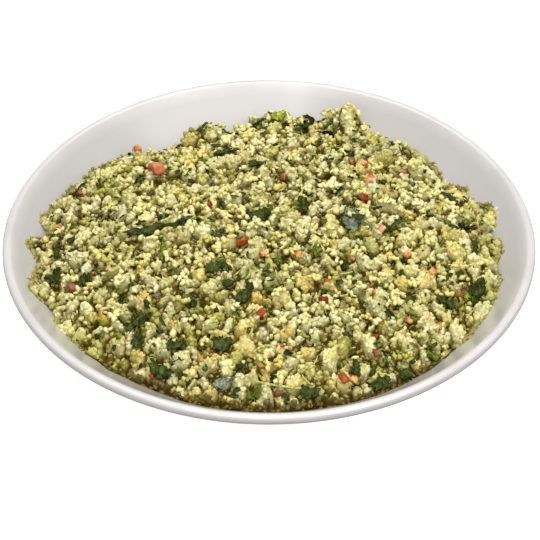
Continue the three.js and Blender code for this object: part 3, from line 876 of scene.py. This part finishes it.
# A grain's points are its top, its upper and lower rings, and its foot
sides = np.arange(GRAIN_SIDES)
upper, lower = 1 + sides, 1 + GRAIN_SIDES + sides
upper_next, lower_next = np.roll(upper, -1), np.roll(lower, -1)
top, foot_point = 0 * sides, 0 * sides + 1 + 2 * GRAIN_SIDES
grain_faces = np.concatenate([
    np.stack(corners, axis=-1)
    for corners in (
        (top, upper, upper_next),
        (upper, lower, upper_next),
        (lower, lower_next, upper_next),
        (lower_next, lower, foot_point),
    )
])
ring_angles = 2 * math.pi / GRAIN_SIDES * np.concatenate([sides, sides + 0.5])
flat_radii = np.repeat(NET_RADII, GRAIN_SIDES)
flat = np.column_stack([flat_radii * np.cos(ring_angles), flat_radii * np.sin(ring_angles)])
flat_grain = np.concatenate([[[0, 0]], flat, [[0, 0]]])[grain_faces]
is_under = (grain_faces == foot_point[0]).any(axis=1)[:, None, None]
grain_net = np.where(is_under, flat_grain * NET_UNDER + NET_UNDER_MIDDLE, flat_grain + NET_MIDDLE)
grain_shapes = []
for _ in range(GRAIN_SHAPES):
    polar = np.repeat(GRAIN_POLARS, GRAIN_SIDES) + draw.uniform(-GRAIN_WOBBLE, GRAIN_WOBBLE, 2 * GRAIN_SIDES)
    polar = np.radians(polar)
    around = ring_angles + draw.uniform(-GRAIN_TWIST, GRAIN_TWIST, 2 * GRAIN_SIDES)
    reach = draw.uniform(*GRAIN_REACH, 2 * GRAIN_SIDES)
    side = np.column_stack([np.sin(polar) * np.cos(around), np.sin(polar) * np.sin(around), np.cos(polar)])
    top_height = draw.uniform(*GRAIN_TOP)
    shape = np.concatenate([[[0, 0, top_height]], side * reach[:, None], [[0, 0, GRAIN_FOOT]]])
    grain_shapes.append(shape @ (np.eye(3) + draw.uniform(-GRAIN_SHEAR, GRAIN_SHEAR, (3, 3))))
grain_shapes = np.array(grain_shapes)
grain_crease_shade = CREASE_SHADE_SHARE * np.concatenate([[0], np.repeat((CREASE_UPPER, 1.0), GRAIN_SIDES), [1]])[:, None]


def on_ball(points, power=2):
    """Points moved straight out or in onto a ball of radius 1, which is squarer where the power is over 2."""
    return points / np.linalg.norm(points, ord=power, axis=1, keepdims=True)


def random_ways(count):
    """Directions spread evenly over the sphere."""
    return on_ball(draw.normal(size=(count, 3)))


def turns_on(normals):
    """The turn matrices of grains that stand on a surface with these normals, spun at random and leaning."""
    up = on_ball(normals + draw.normal(0, GRAIN_TIP, normals.shape))
    side = on_ball(np.cross(up, random_ways(len(up))))
    return np.stack([side, np.cross(up, side), up], axis=2)


def grain_piece(name, places, radii, normals, colours):
    """A piece of joined grains."""
    count = len(places)
    sizes = radii[:, None] * np.column_stack([draw.uniform(*span, count) for span in GRAIN_STRETCH])
    own = (colours * draw.uniform(*GRAIN_SHADE, (count, 1)))[:, None]
    # Painted shade: darker brown towards each grain's foot, down in the creases
    tones = own + (np.array(linear(CREASE_SHADE_BROWN)) - own) * grain_crease_shade
    numbers = draw.integers(0, GRAIN_SHAPES, count)
    turns = turns_on(normals)
    mesh = joined_mesh(name, grain_shapes, grain_faces, grain_net, numbers, places, turns, sizes, tones)
    food_piece(mesh, steamed)


def rises(grid, step, x, y, reach):
    """How much a grid rises eastwards and northwards, over twice the reach."""
    return (
        sample(grid, step, x + dx, y + dy) - sample(grid, step, x - dx, y - dy)
        for dx, dy in ((reach, 0), (0, reach))
    )


# Steamed couscous: a soft, moist surface, pale and a little see-through, with a thin film of oil.
COUSCOUS_FINISH = {
    "Roughness": 0.45,
    "IOR": 1.4,
    "Specular IOR Level": 0.12,
    "Subsurface Weight": 0.2,
    "Subsurface Radius": (1.0, 0.85, 0.3),
    "Subsurface Scale": 1.0 * MM,
    "Coat Weight": 0.03,
    "Coat Roughness": 0.3,
}
steamed = moist_food("steamed_couscous", COUSCOUS_FINISH, 1.1 * MM, (0.9, 1.06), 0.6 * MM, 0.12 * MM)

spots = random_in_heap(GRAIN_TRIES)
fewer = NEST_BARE * fine_at(nest, *spots.T) + CRACK_OPEN * fine_at(crack, *spots.T)
stays = np.where(fine_at(lump_rise, *spots.T) > GAP_RISE, 1 - fewer, GAP_SHARE)
spots = spots[draw.uniform(size=GRAIN_TRIES) < np.maximum(stays, NEST_SHARE)]
angles = np.radians(draw.uniform(*EDGE_BEARING, EDGE_TRIES))
at_edge = edge_radius(angles) * draw.uniform(*EDGE_BAND, EDGE_TRIES)
spots = np.concatenate([np.column_stack([at_edge * np.cos(angles), at_edge * np.sin(angles)]), spots])
radii = draw.uniform(*GRAIN_RADIUS, len(spots)) * MM
sunk = draw.uniform(*GRAIN_SUNK, len(spots)) * radii
spot_z = fine_at(surface, *spots.T)
kept = spread_apart(np.column_stack([spots, spot_z - sunk]), radii, GRAIN_APART)
spots, spot_z, radii, sunk = spots[kept], spot_z[kept], radii[kept], sunk[kept]
slope_x, slope_y = rises(surface, FINE_STEP, *spots.T, SLOPE_REACH)
normals = on_ball(np.column_stack([-slope_x, -slope_y, np.full(len(spots), 2 * SLOPE_REACH)]))
grain_places = np.column_stack([spots, spot_z]) - normals * sunk[:, None]
grain_tones = fine_at(lump_tone, *spots.T) + draw.normal(0, TONE_NOISE, len(spots))
grain_juice_and_shade = fine_at(lump_juice_and_shade, *spots.T) + draw.normal(0, JUICE_NOISE, len(spots))
own = grain_colours(grain_tones, grain_juice_and_shade, fine_at(lump_wet_and_shade, *spots.T))
least = -math.inf
for kind, most in GRAIN_KINDS.items():
    chosen = (grain_tones >= least) & (grain_tones < most)
    grain_piece(kind, grain_places[chosen], radii[chosen], normals[chosen], own[chosen])
    least = most

# What is put on the grains comes to rest on the fine grid of the heap's surface, and becomes part of it


def cell_of(x, y):
    """The row and column of the fine grid's point nearest to a place."""
    return int(round(y / FINE_STEP)) + fine_half, int(round(x / FINE_STEP)) + fine_half


def patch(x, y, radius):
    """The cells round a ball, which of them it covers, and how high it stands over its middle there."""
    (i0, j0), (i1, j1) = cell_of(x - radius, y - radius), cell_of(x + radius, y + radius)
    cells = slice(max(i0, 0), i1 + 1), slice(max(j0, 0), j1 + 1)
    away = (fine_x[cells] - x) ** 2 + (fine_y[cells] - y) ** 2
    return cells, away < radius ** 2, np.sqrt(np.clip(radius ** 2 - away, 0, None))


def rest_height(x, y, radius, flat):
    """The height at which a ball's middle comes to rest, when it is pressed to a share flat of its height."""
    cells, covers, cap = patch(x, y, radius)
    return (surface[cells] + flat * cap)[covers].max()


held = np.zeros(surface.shape, bool)  # where a listed piece has to stay in sight


def lay(x, y, z, radius, flat, hold=False):
    """Adds a piece to what the next ones lie on."""
    cells, covers, cap = patch(x, y, radius)
    surface[cells] = np.maximum(surface[cells], np.where(covers, z + flat * cap, -1))
    if hold:
        held[cells] |= covers


for (x, y, z), radius in zip(grain_places, radii):
    lay(x, y, z, radius, LAY_FLAT)

# ---- Tomato ----
# Ripe tomato without its seeds, cut into dice of 1.5 to 6 mm. The flesh is wet and a little clear, and the
# acid of the dressing has paled it.

# In mm: x, y, size, and the tone's name
TOMATO_PLACES = (
    (-56, 38, 6.4, "salmon"),
    (-67, 71, 3.8, "orange"),
    (-18, 57, 2.6, "red"),
    (22, 72, 2.6, "pink"),
    (7, 32, 3.4, "brown"),
    (28, 28, 3.8, "orange"),
    (-29, 10, 2.8, "red"),
    (48, 42, 3.8, "orange"),
    (51, 37, 4.0, "red"),
    (50, 30, 4.6, "pink"),
    (47, 18, 4.0, "red"),
    (42, 48, 2.9, "brown"),
    (68, 54, 2.6, "pink"),
    (64, 44, 2.6, "red"),
    (-104, 10, 3.4, "pink"),
    (-92, 18, 3.4, "brown"),
    (-84, -31, 3.0, "orange"),
    (-94, -37, 4.2, "brown"),
    (-79, -56, 3.4, "pink"),
    (-13, -18, 5.2, "red"),
    (9, -22, 3.6, "brown"),
    (-3, -26, 3.3, "orange"),
    (14, -26, 2.9, "orange"),
    (28, -45, 2.8, "red"),
    (26, -56, 3.4, "red"),
    (-4, -69, 5.5, "red"),
    (54, -8, 3.6, "pink"),
    (66, -24, 3.9, "orange"),
    (101, 7, 2.6, "red"),
    (78, -34, 3.4, "orange"),
    (90, -42, 4.3, "brown"),
    (66, -62, 3.4, "orange"),
    (50, -70, 2.8, "red"),
    (80, -61, 2.9, "orange"),
    (74, -58, 3.1, "pink"),
    (-54, -89, 2.8, "red"),
    (-4, -94, 3.4, "brown"),
    (4, -106, 3.4, "brown"),
    (34, -100, 4.3, "red"),
    (39, -99, 4.0, "orange"),
    (50, -84, 3.4, "brown"),
)
TOMATO_TONES = {"red": "9a4e20", "salmon": "b4704a", "orange": "cf9460", "pink": "d8a886", "brown": "946a3c"}
TOMATO_STEPS = 4
TOMATO_SHAPES = 12
BLOCK_POWER = 7  # 2 is a ball, and more is squarer
CORNER_MOVES, CUT_ROUGH = (-0.55, 0.35), 0.12  # of half its size: how far its corners and its cuts stray
TOMATO_PROPORTIONS = ((0.9, 1.1), (0.8, 1.05), (0.6, 0.85))  # of its size, its three sides
TOMATO_SUNK = 0.26  # of its size, how deep a piece has settled between the grains
TOMATO_TIP = 0.5  # radians
# Of its size and of its height: the flat ball that it comes to rest as, and the one that others lie on
TOMATO_REST, TOMATO_LAY = (0.45, 0.3), (0.5, 0.6)
FLESH_LIGHT, SKIN_DARK = np.array((1.35, 1.5, 1.5, 1)), np.array((0.75, 0.55, 0.5, 1))  # times its tone
SKIN_SHARE = 0.7  # how sharply the skin's side differs from the flesh
SMALL_TOMATO_COUNT = 34
SMALL_TOMATO_SIZE = (1.4, 2.4)  # mm
SMALL_SPREAD = 0.95  # of the heap's radius, how far out small things lie
LIE_REACH = 3 * MM  # how far round a piece the slope that it lies on is taken from
CUBE_MARGIN = 0.08  # of a side's field in the flat layout, its empty border


def lying_turn(x, y, degrees, tip):
    """The turn matrix of a piece that lies on the heap's slope, turned in plan and tipped by two angles."""
    east, north = rises(form, FORM_STEP, x, y, LIE_REACH)
    upright = Vector((0, 0, 1)).rotation_difference(Vector((-east, -north, 2 * LIE_REACH))).to_matrix()
    plan = Matrix.Rotation(math.radians(degrees), 3, "Z")
    tipped = Matrix.Rotation(tip[0], 3, "X") @ Matrix.Rotation(tip[1], 3, "Y")
    return np.array(upright @ plan @ tipped)


def scattered_piece(name, shapes, faces, net, rows, material):
    """A piece of joined bits, with a row for each: its place, turn, size and tone. Shapes are drawn."""
    places, turns, sizes, tones = (np.array(column) for column in zip(*rows))
    numbers = draw.integers(0, len(shapes), len(places))
    food_piece(joined_mesh(name, shapes, faces, net, numbers, places, turns, sizes, tones), material)


def cube_net(steps):
    """A cube's surface as a grid: its points, its faces, and each face's place in a flat layout."""
    line = np.linspace(-1, 1, steps + 1)
    field = CUBE_MARGIN + (1 - 2 * CUBE_MARGIN) * np.linspace(0, 1, steps + 1)
    points, numbers, faces, layout = [], {}, [], []
    for axis in range(3):
        for sign in (-1, 1):
            for i in range(steps):
                for j in range(steps):
                    ring = [(i, j), (i + 1, j), (i + 1, j + 1), (i, j + 1)][::sign]
                    face = []
                    for u, v in ring:
                        corner = tuple(np.round(np.roll((sign, line[u], line[v]), axis), 6))
                        if corner not in numbers:
                            numbers[corner] = len(points)
                            points.append(corner)
                        face.append(numbers[corner])
                    faces.append(face)
                    layout.append([((axis + field[u]) / 3, ((sign + 1) / 2 + field[v]) / 2) for u, v in ring])
    return np.array(points), np.array(faces), np.array(layout)


cube_points, cube_faces, cube_layout = cube_net(TOMATO_STEPS)
cut_block = on_ball(cube_points, BLOCK_POWER)
corner_moves = draw.uniform(*CORNER_MOVES, (TOMATO_SHAPES, 8, 3))
corner_signs = np.array([(x, y, z) for x in (-1, 1) for y in (-1, 1) for z in (-1, 1)])
corner_shares = np.prod(1 + corner_signs[None] * cut_block[:, None], axis=2) / 8
tomato_shapes = cut_block[None] + np.einsum("pc,scj->spj", corner_shares, corner_moves)
tomato_shapes += draw.uniform(-CUT_ROUGH, CUT_ROUGH, tomato_shapes.shape)

small = [
    (x / MM, y / MM, draw.uniform(*SMALL_TOMATO_SIZE), draw.choice(list(TOMATO_TONES)))
    for x, y in random_in_heap(SMALL_TOMATO_COUNT, SMALL_SPREAD)
]
tomato_rows = []
for x, y, size, tone in (*TOMATO_PLACES, *small):
    x, y, size = x * MM, y * MM, size * MM
    sizes = np.array([draw.uniform(*span) for span in TOMATO_PROPORTIONS]) * size / 2
    z = rest_height(x, y, TOMATO_REST[0] * size, TOMATO_REST[1]) - TOMATO_SUNK * size
    lay(x, y, z, TOMATO_LAY[0] * size, TOMATO_LAY[1])
    turn = lying_turn(x, y, draw.uniform(0, 360), draw.normal(0, TOMATO_TIP, 2))
    # The side of the skin is deeper in colour than the flesh
    depth = np.clip(0.5 + SKIN_SHARE * cut_block @ random_ways(1)[0], 0, 1)[:, None]
    own = np.array(linear(TOMATO_TONES[tone]))
    tomato_rows.append(((x, y, z), turn, sizes, own * (FLESH_LIGHT + (SKIN_DARK - FLESH_LIGHT) * depth)))

# Cut tomato flesh: wet and glossy, red to pale orange with lighter streaks, and a little clear at the edges.
FLESH_FINISH = {
    "Roughness": 0.32,
    "IOR": 1.36,
    "Subsurface Weight": 0.35,
    "Subsurface Radius": (1.0, 0.5, 0.3),
    "Subsurface Scale": 1.0 * MM,
    "Coat Weight": 0.2,
    "Coat Roughness": 0.12,
}
flesh = moist_food("cut_ripe_tomato", FLESH_FINISH, 2.0 * MM, (0.75, 1.25), 0.9 * MM, 0.2 * MM)
scattered_piece("tomato_dice", tomato_shapes, cube_faces, cube_layout, tomato_rows, flesh)

# ---- Herb leaves and stems ----
# Flat-leaf parsley and mint, chopped with a knife. These are the larger scraps of leaf and the lengths of
# stem. They are wet, limp and dark, and cling to the grains under them.

# In mm: x, y, length, thickness and turn in degrees
STEM_PLACES = (
    (4, -104, 23, 1.1, -9),
    (-4, -85, 9, 1.2, 24),
)
HERB_TONES = {"dark": "3b4615", "mid": "667423", "bright": "8c9638", "grey": "76806a", "stem": "b8bc6c"}
LEAF_ALONG, LEAF_ACROSS = 14, 6
LEAF_CRUMPLE, LEAF_FOLD = 0.35 * MM, 0.3  # the fold along the middle rises by this share of the leaf's width
LEAF_LIFT, LEAF_SIDES = 0.3 * MM, (0.2 * MM, -0.1 * MM)
LEAF_LAY = (0.6 * MM, 0.1)  # a flat ball at each of its points, which others lie on
DRAPE_REACH, DRAPE_SMOOTHING = 4, 3  # passes, because a leaf spans gaps and is too stiff for small dents
VEIN_LIGHT, VEIN_WIDTH = 0.5, 0.1  # how much lighter the vein is, and its share of the leaf's width
LEAF_MOTTLE = 0.5  # how uneven its tone is
LEAF_START, LEAF_END = (0.04, 0.3), (0.7, 0.96)  # of a whole leaf's length, where a scrap is cut out of it
LEAF_BLUNT, LEAF_BEND = 0.6, 0.5  # a power, less is blunter, and how far a scrap bends sideways
TORN_EDGE, TORN_ENDS = (-0.45, 0.15), 0.12  # of its half width and its length, how far a scrap is torn
LEAF_MARGINS = (0.04, 0.05)  # in the flat layout, the empty border across and along
STEM_SHAPES, STEM_POWER, STEM_BEND = 6, 4, 2.5  # the bend is of half its thickness
STEM_TIP, STEM_SHADE = 0.08, (0.7, 1.05)  # radians, and times its tone
STEM_RESTS = (-0.4, -0.2, 0, 0.2, 0.4)  # of its length, where a stem may touch what it lies on
STEM_HELD = 8 * MM  # nothing may hide a stem that is longer
SMALL_STEM_COUNT = 60
SMALL_STEM_LENGTH, SMALL_STEM_THICKNESS = (3, 8), (0.6, 1.1)  # mm


def leaf_shell(along, across):
    """A thin closed sheet of two grids of points: their u and v, its faces, and its flat layout."""
    rows, columns = along + 1, across + 1
    number = np.arange(rows * columns).reshape(rows, columns)
    aside, ahead = LEAF_MARGINS

    def laid_out(i, j, under):
        return aside + (0.5 - 2 * aside) * j / across + 0.5 * under, ahead + (1 - 2 * ahead) * i / along

    faces, layout = [], []
    for i in range(along):
        for j in range(across):
            ring = [(i, j), (i + 1, j), (i + 1, j + 1), (i, j + 1)]
            for under, order in ((0, ring), (1, ring[::-1])):
                faces.append([int(number[at]) + under * rows * columns for at in order])
                layout.append([laid_out(*at, under) for at in order])
    border = [(i, 0) for i in range(along)] + [(along, j) for j in range(across)]
    border += [(i, across) for i in range(along, 0, -1)] + [(0, j) for j in range(across, 0, -1)]
    for here, there in zip(border, border[1:] + border[:1]):
        a, b = int(number[here]), int(number[there])
        faces.append([b, a, a + rows * columns, b + rows * columns])
        layout.append([laid_out(*at, 0) for at in (there, here, here, there)])
    grid = np.meshgrid(np.linspace(0, 1, rows), np.linspace(-1, 1, columns), indexing="ij")
    return grid, np.array(faces), np.array(layout)


def sheet_points(x, y, z, sides):
    """The points of a thin closed sheet: its middle's x, y and z, moved up and down to its two sides."""
    return np.concatenate([np.stack([x, y, z + side], axis=-1).reshape(-1, 3) for side in sides])


def ragged_outline(u, v):
    """A scrap of leaf in plan, 1 long and 1 wide, with a torn edge: x and y for a grid of u and v."""
    start, end = draw.uniform(*LEAF_START), draw.uniform(*LEAF_END)
    half_width = 0.5 * np.sin(math.pi * (start + (end - start) * u)) ** LEAF_BLUNT
    torn = draw.uniform(*TORN_EDGE, u.shape) * (np.abs(v) > 0.9)
    bend = draw.uniform(-LEAF_BEND, LEAF_BEND) * (u - 0.5) ** 2
    ends = draw.uniform(-TORN_ENDS, TORN_ENDS, u.shape) * ((u < 0.01) | (u > 0.99))
    return u - 0.5 + ends, v * half_width * (1 + torn) + bend


leaf_grid, leaf_faces, leaf_layout = leaf_shell(LEAF_ALONG, LEAF_ACROSS)
draped = surface
for _ in range(DRAPE_REACH):
    draped = np.max(neighbours(draped), axis=0)
draped = smoothed(draped, DRAPE_SMOOTHING)
leaf_shapes, leaf_tones = [], []
for x, y, length, width, degrees, tone in HERB_NESTS:
    along, across = ragged_outline(*leaf_grid)
    along, across = along * length * MM, across * width * MM
    turn = math.radians(degrees)
    leaf_x = x * MM + along * math.cos(turn) - across * math.sin(turn)
    leaf_y = y * MM + along * math.sin(turn) + across * math.cos(turn)
    crumple = draw.uniform(-1, 1, leaf_x.shape) * LEAF_CRUMPLE
    fold = draw.uniform(-1, 1) * LEAF_FOLD * width * MM * (0.5 - np.abs(leaf_grid[1]))
    leaf_z = fine_at(draped, leaf_x, leaf_y) + LEAF_LIFT + crumple + fold
    leaf_shapes.append(sheet_points(leaf_x, leaf_y, leaf_z, LEAF_SIDES))
    vein = 1 + VEIN_LIGHT * (np.abs(leaf_grid[1]) < VEIN_WIDTH)
    vein += draw.uniform(-LEAF_MOTTLE, LEAF_MOTTLE, leaf_x.shape)
    leaf_tones.append(np.array(linear(HERB_TONES[tone])) * np.tile(vein.ravel(), 2)[:, None])
    for place in leaf_shapes[-1][:leaf_x.size]:
        lay(*place, *LEAF_LAY, hold=True)

# Wet parsley leaf: deep green with darker bruises, and a broken shine from the dressing that clings to it.
LEAF_FINISH = {
    "Roughness": 0.45,
    "IOR": 1.36,
    "Specular IOR Level": 0.2,
    "Coat Weight": 0.17,
    "Coat Roughness": 0.1,
}
leaf_green = moist_food("wet_chopped_parsley", LEAF_FINISH, 1.4 * MM, (0.5, 1.5), 0.9 * MM, 0.6 * MM)
count = len(leaf_shapes)
numbers, places, turns = np.arange(count), np.zeros((count, 3)), np.tile(np.eye(3), (count, 1, 1))
leaf_shapes, sizes, tones = np.array(leaf_shapes), np.ones((count, 3)), np.array(leaf_tones)
leaf_mesh = joined_mesh(
    "herb_leaves", leaf_shapes, leaf_faces, leaf_layout, numbers, places, turns, sizes, tones
)
food_piece(leaf_mesh, leaf_green)

rod = on_ball(cube_points, STEM_POWER)
stem_shapes = np.stack([rod] * STEM_SHAPES)
stem_shapes[..., 1] += draw.uniform(-STEM_BEND, STEM_BEND, (STEM_SHAPES, 1)) * rod[:, 0] ** 2
stem_rows = []
small = [
    (*place / MM, draw.uniform(*SMALL_STEM_LENGTH), draw.uniform(*SMALL_STEM_THICKNESS), draw.uniform(0, 360))
    for place in random_in_heap(SMALL_STEM_COUNT, SMALL_SPREAD)
]
for x, y, length, thickness, degrees in (*STEM_PLACES, *small):
    x, y, length, thickness = x * MM, y * MM, length * MM, thickness * MM
    ahead = length * math.cos(math.radians(degrees)), length * math.sin(math.radians(degrees))
    spots = [(x + share * ahead[0], y + share * ahead[1]) for share in STEM_RESTS]
    z = np.mean(sorted(rest_height(*spot, thickness / 2, 1.0) for spot in spots)[1:])
    for spot in spots:
        lay(*spot, z, thickness / 2, 1.0, hold=length > STEM_HELD)
    sizes = np.array([length, thickness, thickness]) / 2
    tone = np.array(linear(HERB_TONES["stem"])) * draw.uniform(*STEM_SHADE)
    stem_rows.append(((x, y, z), lying_turn(x, y, degrees, draw.normal(0, STEM_TIP, 2)), sizes, tone))
scattered_piece("herb_stems", stem_shapes, cube_faces, cube_layout, stem_rows, leaf_green)

# ---- Chopped herbs ----
# The rest of the parsley and mint, cut to scraps of 2 to 6 mm that are mixed all through the couscous. Most
# of those in sight lie in the nests and in the gaps between lumps.

HERB_TRIES = 4600
HERB_SPREAD = 0.995
HERB_PATCH = 11 * MM  # how far apart the places lie where they have gathered
HERB_GATHER, HERB_GATHERED = 2.0, (0.1, 3)  # how much more of them lie there, and its least and most
HERB_LENGTH, HERB_LENGTHS = (2.0, 6.5), (1.1, 3.2)  # mm, and the beta distribution between them, most short
HERB_WIDTH = (0.35, 0.75)  # of the length
HERB_SHARES = {"dark": 0.68, "mid": 0.2, "grey": 0.06, "bright": 0.06}
HERB_SHADE, HERB_TIP = (0.6, 1.2), 0.3  # times its tone, and radians
HERB_REST, HERB_LAY = (0.3, 0.1), (0.35, 0.1)  # of its length and height, as for the tomato
HERB_SHAPES = 24
HERB_ALONG, HERB_ACROSS = 4, 2
HERB_FOLD, HERB_CRUMPLE, HERB_CURL, HERB_SIDES = (-0.5, 0.7), 0.12, 0.8, (0.06, -0.06)  # of the length
HERB_TOP_RISE = 2.8 * MM  # on lumps that rise more than this, few scraps stay
# The share of the scraps that stay on top of a lump, in a gap, and in a nest
HERB_ON_LUMP, HERB_IN_GAP, HERB_IN_NEST = 0.02, 0.15, 1.0
HERB_EDGE = 0.96  # past this share of the heap's radius there are no scraps


def scrap_row(x, y, z, length, width, tip, shares, shade):
    """A scrap of herb that lies on the heap, as a row of a scattered piece."""
    turn = lying_turn(x, y, draw.uniform(0, 360), draw.normal(0, tip, 2))
    tone = np.array(linear(HERB_TONES[draw.choice(list(shares), p=list(shares.values()))]))
    return (x, y, z), turn, np.array([length, width, width]), tone * draw.uniform(*shade)


herb_grid, herb_faces, herb_layout = leaf_shell(HERB_ALONG, HERB_ACROSS)
herb_shapes = []
for _ in range(HERB_SHAPES):
    along, across = ragged_outline(*herb_grid)
    fold = draw.uniform(*HERB_FOLD) * np.abs(across)
    fold += draw.uniform(-HERB_CRUMPLE, HERB_CRUMPLE, along.shape)
    curl = draw.uniform(-HERB_CURL, HERB_CURL) * along ** 2
    herb_shapes.append(sheet_points(along, across, fold + curl, HERB_SIDES))
herb_rows = []
herb_places = random_in_heap(HERB_TRIES, HERB_SPREAD)
gathered = np.clip(1 + HERB_GATHER * noise_at(HERB_PATCH, *herb_places.T), *HERB_GATHERED)
for (x, y), much in zip(herb_places, gathered):
    cell = cell_of(x, y)
    share = (HERB_ON_LUMP if lump_rise[cell] > HERB_TOP_RISE else HERB_IN_GAP) * much
    hidden = held[cell] or fine_share[cell] > HERB_EDGE
    if hidden or draw.uniform() > max(share, HERB_IN_NEST * nest[cell]):
        continue
    length = (HERB_LENGTH[0] + (HERB_LENGTH[1] - HERB_LENGTH[0]) * draw.beta(*HERB_LENGTHS)) * MM
    width = length * draw.uniform(*HERB_WIDTH)
    z = rest_height(x, y, HERB_REST[0] * length, HERB_REST[1])
    lay(x, y, z, HERB_LAY[0] * length, HERB_LAY[1])
    herb_rows.append(scrap_row(x, y, z, length, width, HERB_TIP, HERB_SHARES, HERB_SHADE))
scattered_piece("chopped_herbs", np.array(herb_shapes), herb_faces, herb_layout, herb_rows, leaf_green)

# ---- Herb flecks ----
# What the knife cut finest: flecks of parsley and mint of 1 to 2 mm. They are wet, gather in the creases
# between grains, and stick there.

FLECK_TRIES, FLECK_SPREAD = 3000, 0.99
FLECK_CREASE = 0.15 * MM  # how much lower than its surroundings a place is where flecks gather
FLECK_ROUND = 4  # smoothing passes that give the height of a place's surroundings
FLECK_REACH = 0.4 * MM  # how far round a fleck the highest point is what it rests on
FLECK_LENGTH, FLECK_WIDTH = (0.9, 2.4), (0.5, 0.9)  # mm, and of the length
FLECK_SHARES = {"dark": 0.4, "mid": 0.4, "bright": 0.2}
FLECK_SHADE, FLECK_TIP = (0.7, 1.2), 0.6  # times its tone, and radians
FLECK_SHAPES = 12
FLECK_ALONG, FLECK_ACROSS = 2, 1
FLECK_FOLD, FLECK_SIDES = 0.3, (0.1, -0.1)  # of the length

fleck_grid, fleck_faces, fleck_layout = leaf_shell(FLECK_ALONG, FLECK_ACROSS)
fleck_shapes = []
for _ in range(FLECK_SHAPES):
    along, across = ragged_outline(*fleck_grid)
    fold = draw.uniform(-FLECK_FOLD, FLECK_FOLD, along.shape)
    fleck_shapes.append(sheet_points(along, across, fold, FLECK_SIDES))
fleck_rows = []
crease = surface < smoothed(surface, FLECK_ROUND) - FLECK_CREASE
for x, y in random_in_heap(FLECK_TRIES, FLECK_SPREAD):
    if held[cell_of(x, y)] or not crease[cell_of(x, y)]:
        continue
    length = draw.uniform(*FLECK_LENGTH) * MM
    width = length * draw.uniform(*FLECK_WIDTH)
    z = rest_height(x, y, FLECK_REACH, 0.0)
    fleck_rows.append(scrap_row(x, y, z, length, width, FLECK_TIP, FLECK_SHARES, FLECK_SHADE))
scattered_piece("herb_flecks", np.array(fleck_shapes), fleck_faces, fleck_layout, fleck_rows, leaf_green)

# ---- Loose crumbs ----
# Couscous that was turned over last with the spoon: small crumbs of a few grains that stick together, and
# single grains. They lie on top of everything, and half hide some of the herbs and tomato.

CRUMB_COUNT, SINGLE_COUNT = 200, 140
CRUMB_TRIES, CRUMB_SPREAD = 5, 0.93  # the places that each tries, and how far out, of the heap's radius
CRUMB_GRAINS = (2, 8)
CRUMB_STICK, CRUMB_LEAST = 0.72, 0.5  # of the two radii, how far apart grains stick together, and the least
CRUMB_LEVEL = 0.35  # how much less grains are stacked than put side by side
CRUMB_SUNK = 1.3 * MM  # how deep a crumb has settled between the grains
CRUMB_PROUD = 0.8 * MM  # how far a crumb's middle may stand over the heap's form
HELD_SHARE = 0.1  # of the crumbs that would hide a listed piece, those that stay
# How far they follow the lump under a crumb, and how far they stray
CRUMB_TONE, CRUMB_JUICE = (0.5, 0.5), (0.6, 0.15)


def crumb(count):
    """The places and radii of grains that stick together in a crumb."""
    radii = draw.uniform(*GRAIN_RADIUS, count) * MM
    places = [np.zeros(3)]
    while len(places) < count:
        mate = draw.integers(len(places))
        way = draw.normal(size=3) * (1, 1, CRUMB_LEVEL)
        radius = radii[len(places)]
        place = places[mate] + way / np.linalg.norm(way) * CRUMB_STICK * (radii[mate] + radius)
        if all(math.dist(place, other) > CRUMB_LEAST * (radius + r) for other, r in zip(places, radii)):
            places.append(place)
    return np.array(places) - np.mean(places, axis=0), radii


crumb_rows = []
for count in [*draw.integers(*CRUMB_GRAINS, CRUMB_COUNT), *[1] * SINGLE_COUNT]:
    places, radii = crumb(count)
    tries = []
    for x, y in random_in_heap(CRUMB_TRIES, CRUMB_SPREAD):
        z = max(
            rest_height(x + place[0], y + place[1], radius, 1.0) - place[2]
            for place, radius in zip(places, radii)
        )
        tries.append((z - float(sample(form, FORM_STEP, x, y)), x, y, z - CRUMB_SUNK))
    proud, x, y, z = min(tries)
    if proud > CRUMB_PROUD or (held[cell_of(x, y)] and draw.uniform() > HELD_SHARE):
        continue
    tone = CRUMB_TONE[0] * float(fine_at(lump_tone, x, y)) + draw.uniform(0, CRUMB_TONE[1])
    juice_and_shade = CRUMB_JUICE[0] * float(fine_at(lump_juice_and_shade, x, y)) + draw.normal(0, CRUMB_JUICE[1])
    for place, radius in zip(places + (x, y, z), radii):
        lay(*place, radius, 1.0)
        crumb_rows.append((*place, radius, tone, juice_and_shade))
crumb_rows = np.array(crumb_rows)
crumb_normals = np.tile((0.0, 0.0, 1.0), (len(crumb_rows), 1))
crumb_colours = grain_colours(crumb_rows[:, 4], crumb_rows[:, 5], 0 * crumb_rows[:, 5])
grain_piece("loose_crumbs", crumb_rows[:, :3], crumb_rows[:, 3], crumb_normals, crumb_colours)
